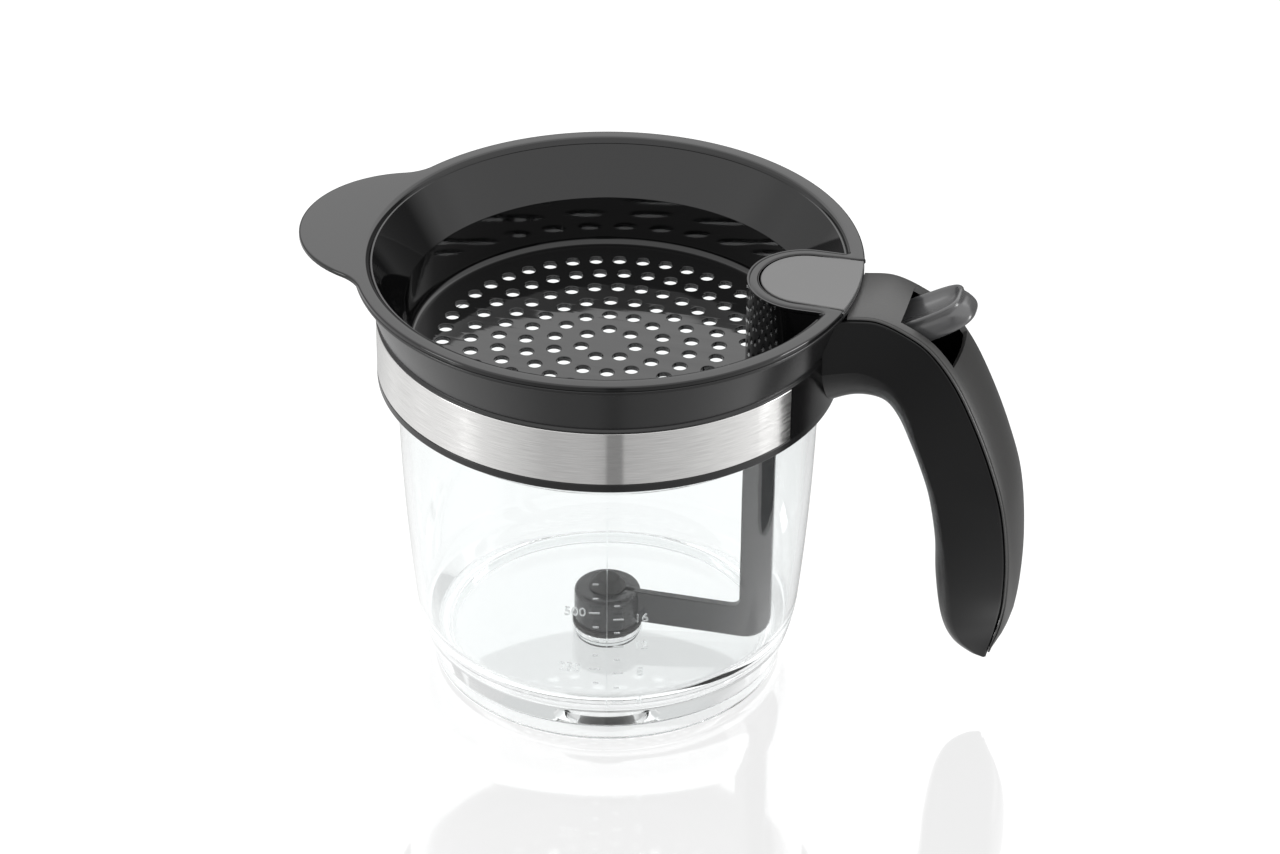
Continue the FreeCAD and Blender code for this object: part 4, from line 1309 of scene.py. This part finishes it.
# ------------------------------------------------------------------ strainer funnel
@dataclass
class StrainerFunnel:
    """The lift-off funnel: a rim with a thumb tab, a cone, a drum, a pocket round the mechanism
    cap, and a perforated plate."""

    rim_radius: float = 78.1
    mouth: float = 72.8
    top: float = 143.4
    rim_low: float = 141.9
    drum_in: float = 62.5
    drum_out: float = 64.4
    drum_low_in: float = 59.9
    cone_low: float = 127.6
    cone_meets: tuple[float, float] = (72.94, 143.06)
    cone_out: float = 74.6
    cone_lean: float = 0.675
    cone_ease: float = 0.55
    base: float = 107.7
    plate_top: float = 111.1
    plate_thick: float = 1.6
    plate_edge: float = 0.3
    pocket_centre: float = 62.0
    pocket_in: float = 14.8
    pocket_out: float = 18.3
    pocket_corner: float = 78.2
    tab_reach: float = 97.4
    tab_round: float = 35.0
    tab_fillet: float = 15.0
    fillet_in: float = 1.3
    fillet_out: float = 0.7
    rim_steps: int = 300
    hole_radius: float = 2.2
    ring_step: float = 8.57

    def rim_outline(self) -> tuple[Array, Array, Array]:
        """The rim's inner and outer edge in plan, point for point, on the +Y side.

        From the pocket's inner end both edges turn about the pocket's centre, run out along its
        sides, pass the corner where the pocket meets the rim along a parabola, and go round the
        axis to the tab.

        Returns:
            Inner edge, outer edge, and the share of the cone's slope in the inner edge's side.
        """
        turn = np.radians(np.linspace(180, 90, 31))
        round_in, round_out = ((self.pocket_centre, 0.0) + on_circle(radius, turn)
                               for radius in (self.pocket_out, self.pocket_in))
        corner_in = math.sqrt(self.mouth ** 2 - self.pocket_out ** 2)
        stop_in, stop_out = (np.array([corner_in - 1.5, side])
                             for side in (self.pocket_out, self.pocket_in + 0.35))
        run = np.linspace(0.0, 1.0, 10)[1:, None]
        first_in = math.atan2(self.pocket_out, corner_in) + math.radians(1.4)
        first_out = math.asin((self.pocket_in + 1.9) / self.rim_radius)
        t = np.linspace(0.0, 1.0, 9)[1:, None]

        def corner(start: Array, point: tuple[float, float], end: Array) -> Array:
            """The parabola from start to end that sets out for and comes from the point."""
            return (1 - t) ** 2 * start + 2 * t * (1 - t) * np.array(point) + t ** 2 * end

        share = np.linspace(0.0, 1.0, self.rim_steps)[1:]
        angle_in = first_in + (math.pi - first_in) * share
        angle_out = first_out + (math.pi - first_out) * share
        inner = [round_in, round_in[-1] + (stop_in - round_in[-1]) * run,
                 corner(stop_in, (corner_in, self.pocket_out), on_circle(self.mouth, first_in)),
                 on_circle(self.mouth, angle_in)]
        outer = [round_out, round_out[-1] + (stop_out - round_out[-1]) * run,
                 corner(stop_out, (self.pocket_corner, self.pocket_in + 0.3),
                        on_circle(self.rim_radius, first_out)),
                 on_circle(self.outer_reach(angle_out), angle_out)]
        slope = [np.zeros(len(turn) + len(run)), t[:, 0] ** 2 * (3 - 2 * t[:, 0]),
                 np.ones(len(share))]
        return np.vstack(inner), np.vstack(outer), np.concatenate(slope)

    def outer_reach(self, angle: Array) -> Array:
        """The rim's outer radius at an angle: round, with the tab as a bump of three arcs that
        touch one another on the far side from the handle.

        Args:
            angle: angles about the axis, in radians.

        Returns:
            The radius at each angle.
        """
        away = math.pi - angle
        # the tip's arc, about a centre on the -X axis
        c = self.tab_reach - self.tab_round
        tip = c * np.cos(away) + np.sqrt(np.maximum(self.tab_round ** 2
                                                    - (c * np.sin(away)) ** 2, 0.0))
        # the fillet's centre lies outside both circles by its radius
        to_axis, to_tip = self.rim_radius + self.tab_fillet, self.tab_round + self.tab_fillet
        fx = (to_axis ** 2 - to_tip ** 2 + c ** 2) / (2 * c)
        centre = np.array([fx, math.sqrt(to_axis ** 2 - fx ** 2)])
        mid, dist = math.atan2(centre[1], centre[0]), math.hypot(*centre)
        inside = np.maximum(self.tab_fillet ** 2 - (dist * np.sin(away - mid)) ** 2, 0.0)
        dip = dist * np.cos(away - mid) - np.sqrt(inside)
        # where the fillet touches the tip's arc and the rim
        touch_tip = (c, 0.0) + (centre - (c, 0.0)) * self.tab_round / to_tip
        touch_rim = centre * self.rim_radius / to_axis
        a_tip, a_rim = (math.atan2(y, x) for x, y in (touch_tip, touch_rim))
        return np.where(away < a_tip, tip, np.where(away < a_rim, dip, self.rim_radius))

    def rim(self) -> bpy.types.Object:
        """The rim, tab and pocket edge as one closed band with rounded edges.

        Across the band the section climbs from its underside, turns a quarter circle on to the
        top, crosses it, and turns a quarter circle down the outer side; the inner side leans
        with the cone by the slope's share.

        Returns:
            The piece.
        """
        inner, outer, slope = self.rim_outline()
        inner = np.vstack([inner, inner[-2:0:-1] * (1, -1)])
        outer = np.vstack([outer, outer[-2:0:-1] * (1, -1)])
        slope = np.concatenate([slope, slope[-2:0:-1]])
        width = np.linalg.norm(outer - inner, axis=1, keepdims=True)
        across = (outer - inner) / width
        lean = self.cone_lean * slope[:, None]
        t = np.linspace(0.0, math.pi / 2, 6)[None, :]
        drop_in = self.fillet_in * (1 - np.sin(t))
        drop_out = self.fillet_out * (1 - np.cos(t))
        away_in = self.fillet_in * (1 - np.cos(t)) \
            + lean * (self.fillet_in - drop_in) * self.cone_ease
        bottom = self.top - self.rim_low
        fall = np.concatenate([np.full((1, 1), bottom), drop_in, np.zeros((1, 1)), drop_out,
                               np.full((1, 1), bottom)], 1)
        from_in = np.concatenate([-lean * (bottom - self.fillet_in), away_in, 0.5 * width,
                                  width - self.fillet_out * (1 - np.sin(t)), width], 1)
        spot = inner[:, None] + across[:, None] * from_in[:, :, None]
        grid = np.concatenate([spot, np.broadcast_to(self.top - fall[:, :, None],
                                                     (*from_in.shape, 1))], -1)
        return grid_piece("funnel_rim", grid, True, True, crease=38)

    def start_angle(self, radius: Array) -> Array:
        """The angle at which a circle about the axis enters the pocket's wall, for each radius.

        Beyond the pocket's centre it is where the circle crosses the straight wall's middle;
        nearer, where it crosses the half circle's middle.

        Args:
            radius: radii of the circles.

        Returns:
            The angle for each radius, in radians.
        """
        h, c = 0.5 * (self.pocket_in + self.pocket_out), self.pocket_centre
        straight = np.arcsin(np.minimum(h / radius, 1.0))
        swing = np.clip((radius ** 2 - c ** 2 - h ** 2) / (2 * c * h), -1.0, 0.0)
        bend = np.arctan2(h * np.sqrt(1 - swing ** 2), c + h * swing)
        return np.where(radius >= math.hypot(c, h), straight, bend)

    def bowl(self) -> bpy.types.Object:
        """The cone and drum, a turned wall that begins and ends inside the pocket's wall.

        Returns:
            The piece.
        """
        top_in, meets = self.cone_meets
        slope = (top_in - self.drum_in) / (meets - self.cone_low)
        at_rim = top_in - (meets - self.rim_low) * slope
        wall = rounded([
            (at_rim, self.rim_low), (self.drum_in, self.cone_low, 0.5),
            (self.drum_in, self.plate_top + 0.05, 2.4), (self.drum_low_in, self.plate_top + 0.05),
            (self.drum_low_in, self.base, 0.4), (self.drum_out, self.base, 0.6),
            (self.drum_out, self.cone_low - 0.9, 2.0), (self.cone_out, self.rim_low),
        ], 6)
        share = np.linspace(0.0, 1.0, 241)[None, :]
        first = self.start_angle(wall[:, :1])
        angle = first + (2 * math.pi - 2 * first) * share
        return grid_piece("funnel_bowl", swept(wall, angle), True, False, crease=30)

    def pocket(self) -> bpy.types.Object:
        """The wall round the mechanism cap, a horseshoe in plan whose ends stop inside the cone.

        The section's points (h, z) are carried along a half circle about the pocket's centre and
        two straight sides whose length follows the cone's middle at each height.

        Returns:
            The piece.
        """
        section = rounded([(self.pocket_in, self.base, 0.4), (self.pocket_out, self.base, 0.4),
                           (self.pocket_out, self.top - 0.3), (self.pocket_in, self.top - 0.3)], 3)
        h, z = section[:, 0], section[:, 1]
        radius = np.interp(z, [self.base, self.cone_low, self.rim_low, self.top],
                           [self.drum_in + 0.9, self.drum_in + 0.9, 73.2, 73.9])
        end = np.sqrt(np.maximum(radius ** 2 - h ** 2, 1.0))
        run = np.linspace(1.0, 0.0, 9)[:-1, None]
        turn = np.radians(np.linspace(90, 270, 61))[:, None]
        first = np.stack([self.pocket_centre + (end - self.pocket_centre) * run, h + 0 * run,
                          z + 0 * run], -1)
        bend = np.concatenate([(self.pocket_centre, 0.0) + on_circle(h, turn),
                               (z + 0 * turn)[..., None]], -1)
        last = first[::-1] * np.array([1.0, -1.0, 1.0])
        return grid_piece("funnel_pocket", np.concatenate([first, bend, last]), crease=30)

    def holes(self) -> list[Array]:
        """The outlines of the plate's holes, in rings from the outermost inwards.

        Hole k of a ring lies at the ring's radius, one step of 360 / holes after hole k - 1; the
        outer rings leave out the holes that the pocket's notch would cut.

        Returns:
            One outline for each hole.
        """
        circle = on_circle(self.hole_radius, np.linspace(0.0, 2 * math.pi, 25)[:-1])
        found = []
        for number, (full, left_out) in enumerate(((43, 5), (35, 2), (29, 0), (21, 0), (14, 0),
                                                   (7, 0))):
            step = 2 * math.pi / full
            start = step * (left_out + 1) / 2 if left_out else 0.0
            angles = start + step * np.arange(full - left_out)
            found += list(on_circle(self.ring_step * (6 - number), angles)[:, None] + circle)
        return found

    def plate(self) -> bpy.types.Object:
        """The perforated plate: a disc with the pocket's notch and rings of round holes, as a
        flat curve with a thickness and rounded edges.

        Returns:
            The piece.
        """
        disc = self.drum_in - 0.3
        notch = self.pocket_out + 0.3
        edge = math.sqrt(disc ** 2 - notch ** 2)
        turn = np.radians(np.linspace(270, 90, 50))
        cut = (self.pocket_centre, 0.0) + on_circle(notch, turn)
        cut = cut[(cut[:, 0] < edge) & (np.hypot(cut[:, 0], cut[:, 1]) < disc - 0.2)]
        first = math.atan2(cut[-1, 1], cut[-1, 0])
        rim = on_circle(disc, np.linspace(first, 2 * math.pi - first, 200))
        flat = bpy.data.curves.new("plate outline", "CURVE")
        flat.dimensions, flat.fill_mode = "2D", "BOTH"
        flat.extrude = self.plate_thick / 2 - self.plate_edge
        flat.bevel_depth, flat.bevel_resolution = self.plate_edge, 2
        flat.offset = -self.plate_edge
        for loop in [np.vstack([rim, cut]), *self.holes()]:
            spline = flat.splines.new("POLY")
            spline.points.add(len(loop) - 1)
            spline.points.foreach_set("co", np.column_stack(
                [loop, np.zeros(len(loop)), np.ones(len(loop))]).ravel())
            spline.use_cyclic_u = True
        spots, faces = shape_of(flat)
        spots += (0.0, 0.0, self.plate_top - self.plate_thick / 2)
        return make_piece("strainer_disc", spots, faces, crease=40)

    def build(self) -> None:
        """Build and dress the funnel."""
        for piece in (self.rim(), self.bowl(), self.pocket()):
            dress(piece, "strainer", Finish.FUNNEL, "funnel_plastic", "strainer_funnel")
        dress(self.plate(), "strainer", Finish.PLATE, "plate_plastic", "strainer_plate")


# ------------------------------------------------------------------ studio
@dataclass
class Studio:
    """A pale sheet, soft lamps and the camera.

    Places are in metres and angles in degrees. A ring of the surround is a list of
    (angle from the camera's side, strength) pairs.
    """

    floor_half: float = 3.0
    floor_white: float = 1.02
    camera_at: tuple[float, float, float] = (0.2717, -1.0659, 0.7777)
    pan: float = 0.52
    roll: float = 0.52
    pitch: float = 32.37
    turned: float = 14.3
    focal_pixels: float = 4158.8
    picture_wide: float = 1280.0
    sensor: float = 36.0
    lamp_away: float = 0.7
    lamp_wide: float = 0.26
    lamp_tall: float = 0.17
    brightest: float = 3.5
    split_low: float = 21.0
    split_high: float = 28.0
    # the floor's own glow by angle: painted light and dark panels that the steel band and the
    # glossy pieces reflect
    floor_ring: tuple[tuple[float, float], ...] = (
        (-180, 0.12), (-168, 0.15), (-156, 0.5), (-148, 0.38), (-118, 0.66), (-92, 0.90),
        (-59, 0.84), (-27, 0.34), (-7, 0.32), (-1.5, 0.26), (-0.5, 0.0), (6, 0.0), (7, 0.30),
        (15, 0.34), (35, 0.48), (69, 0.94), (84, 0.7), (92, 0.08), (150, 0.09), (168, 0.12),
        (180, 0.12))
    low_ring: tuple[tuple[float, float], ...] = (
        (-180, 0.3), (-165, 0.3), (-150, 0.8), (-128, 0.6), (-104, 1.0), (-60, 1.2), (-8, 0.7),
        (0, 0.1), (6, 0.1), (8, 0.6), (40, 0.8), (84, 1.3), (100, 1.0), (113, 0.15),
        (150, 0.2), (180, 0.3))
    high_ring: tuple[tuple[float, float], ...] = (
        (-180, 1.75), (-150, 1.85), (-132, 2.1), (-120, 1.35), (120, 1.35), (132, 2.1),
        (150, 1.9), (180, 1.75))

    def camera(self) -> None:
        """Place the camera: forward is pan and pitch turned about Z with the part's frame."""
        pan, roll, pitch, turned = map(math.radians, (self.pan, self.roll, self.pitch,
                                                      self.turned))
        forward = Vector((math.sin(pan) * math.cos(pitch), math.cos(pan) * math.cos(pitch),
                          -math.sin(pitch)))
        level = Vector((math.cos(pan), -math.sin(pan), 0.0))
        over = level.cross(forward)
        right = level * math.cos(roll) + over * math.sin(roll)
        up = over * math.cos(roll) - level * math.sin(roll)
        place = Matrix((right, up, -forward)).transposed().to_4x4()
        place = Matrix.Rotation(turned, 4, "Z") @ place
        place.translation = Vector(self.camera_at)
        lens = bpy.data.cameras.new("view")
        lens.sensor_width = self.sensor
        lens.lens = self.sensor * self.focal_pixels / self.picture_wide
        lens.clip_start, lens.clip_end = 0.05, 20.0
        eye = add_object("view", lens)
        eye.matrix_world = place
        bpy.context.scene.camera = eye

    def strip(self, name: str, turn: float, strength: float) -> None:
        """Stand an upright soft lamp on the floor, facing the axis.

        Its watts are pi times its strength times its area, the strength being that of the
        surround's own scale.

        Args:
            name: the lamp's name.
            turn: degrees round the axis from the camera's side, to the right.
            strength: how bright its face is.
        """
        light = bpy.data.lights.new(name, "AREA")
        light.shape, light.size, light.size_y = "RECTANGLE", self.lamp_wide, self.lamp_tall
        light.energy = math.pi * strength * self.lamp_wide * self.lamp_tall
        holder = add_object(name, light)
        angle = math.radians(self.turned - 90.0 + turn)
        holder.location = spot = Vector((*on_circle(self.lamp_away, angle), self.lamp_tall / 2))
        holder.rotation_euler = Vector((-spot.x, -spot.y, 0.0)).to_track_quat("-Z", "Z").to_euler()
        holder.visible_camera = False
        holder.visible_transmission = False

    def heading(self, wiring: Wiring, way: bpy.types.NodeSocket) \
            -> tuple[bpy.types.NodeOutputs, bpy.types.NodeSocket]:
        """Turn a place or a direction about Z so that +X is the way to the camera's side.

        Args:
            wiring: the nodes that read it.
            way: the place or the direction.

        Returns:
            Its turned X, Y and Z, and its angle, from 0 to 1 for -180 to 180 degrees.
        """
        facing = wiring.add("ShaderNodeVectorRotate", {
            "Vector": way, "Angle": math.radians(90.0 - self.turned)}, rotation_type="Z_AXIS")
        split = wiring.add("ShaderNodeSeparateXYZ", {0: facing.outputs[0]}).outputs
        angle = wiring.sums("ARCTAN2", split["Y"], split["X"])
        return split, wiring.sums("ADD", wiring.sums("DIVIDE", angle, 2 * math.pi), 0.5)

    def seen(self, wiring: Wiring, clear: bpy.types.NodeSocket) -> bpy.types.NodeSocket:
        """How far a ray meets plain white in place of the studio's panels.

        It does so in the view, through the clear pieces as far as given, and by six tenths once
        it has turned more than four times.

        Args:
            wiring: the nodes that read it.
            clear: how far a ray through the clear pieces meets white.

        Returns:
            The share, from 0 to 1.
        """
        path = wiring.add("ShaderNodeLightPath").outputs
        through = wiring.sums("MULTIPLY", path["Is Transmission Ray"], clear)
        late = wiring.sums("GREATER_THAN", path["Ray Depth"], 4.5)
        return wiring.sums("MAXIMUM", wiring.sums("MAXIMUM", path["Is Camera Ray"], through),
                           wiring.sums("MULTIPLY", 0.6, late))

    def ring(self, wiring: Wiring, turn: bpy.types.NodeSocket,
             stops: Sequence[tuple[float, float]]) -> bpy.types.NodeSocket:
        """The strength of the surround by the angle from the camera's side.

        Args:
            wiring: the surround's nodes.
            turn: angle from the camera's side, from 0 to 1 for -180 to 180 degrees.
            stops: (degrees, strength) pairs; it is linear between them.

        Returns:
            The strength.
        """
        ramp = wiring.add("ShaderNodeValToRGB", {0: turn})
        points = ramp.color_ramp.elements
        while len(points) < len(stops):
            points.new(0.5)
        for point, (degrees, strength) in zip(points, stops):
            point.position = degrees / 360 + 0.5
            point.color = (*(strength / self.brightest,) * 3, 1.0)
        return wiring.sums("MULTIPLY", ramp.outputs["Color"], self.brightest)

    def world(self) -> None:
        """The surround: white in the view, and for every other ray the studio's soft panels as
        two rings, a low one up to a third of the way to the top and a high one above."""
        sky = bpy.data.worlds.new("surround")
        bpy.context.scene.world = sky
        sky.use_nodes = True
        wiring = Wiring(sky.node_tree)
        way, turn = self.heading(wiring, wiring.add("ShaderNodeTexCoord").outputs["Generated"])
        share = wiring.spread(way["Z"], math.sin(math.radians(self.split_low)),
                              math.sin(math.radians(self.split_high)), 0.0, 1.0)
        soft = wiring.mix(self.ring(wiring, turn, self.low_ring),
                          self.ring(wiring, turn, self.high_ring), share)
        backdrop = wiring.spread(wiring.sums("MULTIPLY", way["X"], -1.0), 0.8, 0.95, 0.0, 1.0)
        wiring.fill(sky.node_tree.nodes["Background"], {
            "Color": (1.0, 1.0, 1.0, 1.0),
            "Strength": wiring.mix(soft, 1.0, self.seen(wiring, backdrop))})

    def floor(self) -> None:
        """A pale glossy sheet that shows a faint mirror image and glows as no lamp does: plain
        white in the view, and to other rays with painted light and dark panels round the axis,
        which the steel band and the glossy pieces reflect.
        """
        half = self.floor_half
        sheet = bpy.data.meshes.new("sheet")
        sheet.from_pydata([(-half, -half, 0), (half, -half, 0), (half, half, 0),
                           (-half, half, 0)], [], [(0, 1, 2, 3)])
        ground = add_object("sheet", sheet)
        ground.location = (0.0, 0.0, -0.0003)
        paint, wiring, plain = new_paint("pale sheet")
        nodes = paint.node_tree.nodes
        nodes.remove(plain)
        place, turn = self.heading(wiring, wiring.place())
        beside = wiring.spread(wiring.sums("ABSOLUTE", place["Y"]), 0.09, 0.2, 1.0, 0.0)
        # the floor glows: painted panels of light by angle for reflected rays, plain white in the
        # view
        glow = wiring.add("ShaderNodeEmission", {"Strength": wiring.mix(
            self.ring(wiring, turn, self.floor_ring), self.floor_white,
            self.seen(wiring, beside))})
        dull = wiring.add("ShaderNodeBsdfDiffuse", {"Color": (0.9, 0.9, 0.9, 1.0)})
        mirror = wiring.add("ShaderNodeBsdfGlossy",
                            {"Color": (1.0, 1.0, 1.0, 1.0), "Roughness": 0.05})
        whole = wiring.blend(wiring.blend(glow, dull, 0.08), mirror, 0.16)
        wiring.fill(nodes["Material Output"], {"Surface": whole.outputs[0]})
        sheet.materials.append(paint)

    def build(self) -> None:
        """Set up the camera, the surround, the floor and the lamps."""
        self.camera()
        self.world()
        self.floor()
        self.strip("right strip", 80.0, 8.0)
        self.strip("left strip", -70.0, 5.0)
        scene = bpy.context.scene
        scene.view_settings.view_transform = "Standard"
        scene.view_settings.look = "None"


def main() -> None:
    """Build the studio, then the separator's pieces in order."""
    logging.basicConfig(level=logging.INFO, format="%(name)s: %(message)s", stream=sys.stdout)
    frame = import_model()
    Studio().build()
    ClearJug().build()
    Collar().build()
    Handle().build()
    ThumbLever().build()
    MechanismHousing().build(frame["nodes"])
    LiftRod().build()
    StrainerFunnel().build()
    bpy.context.view_layer.update()


if __name__ == "__main__":
    main()
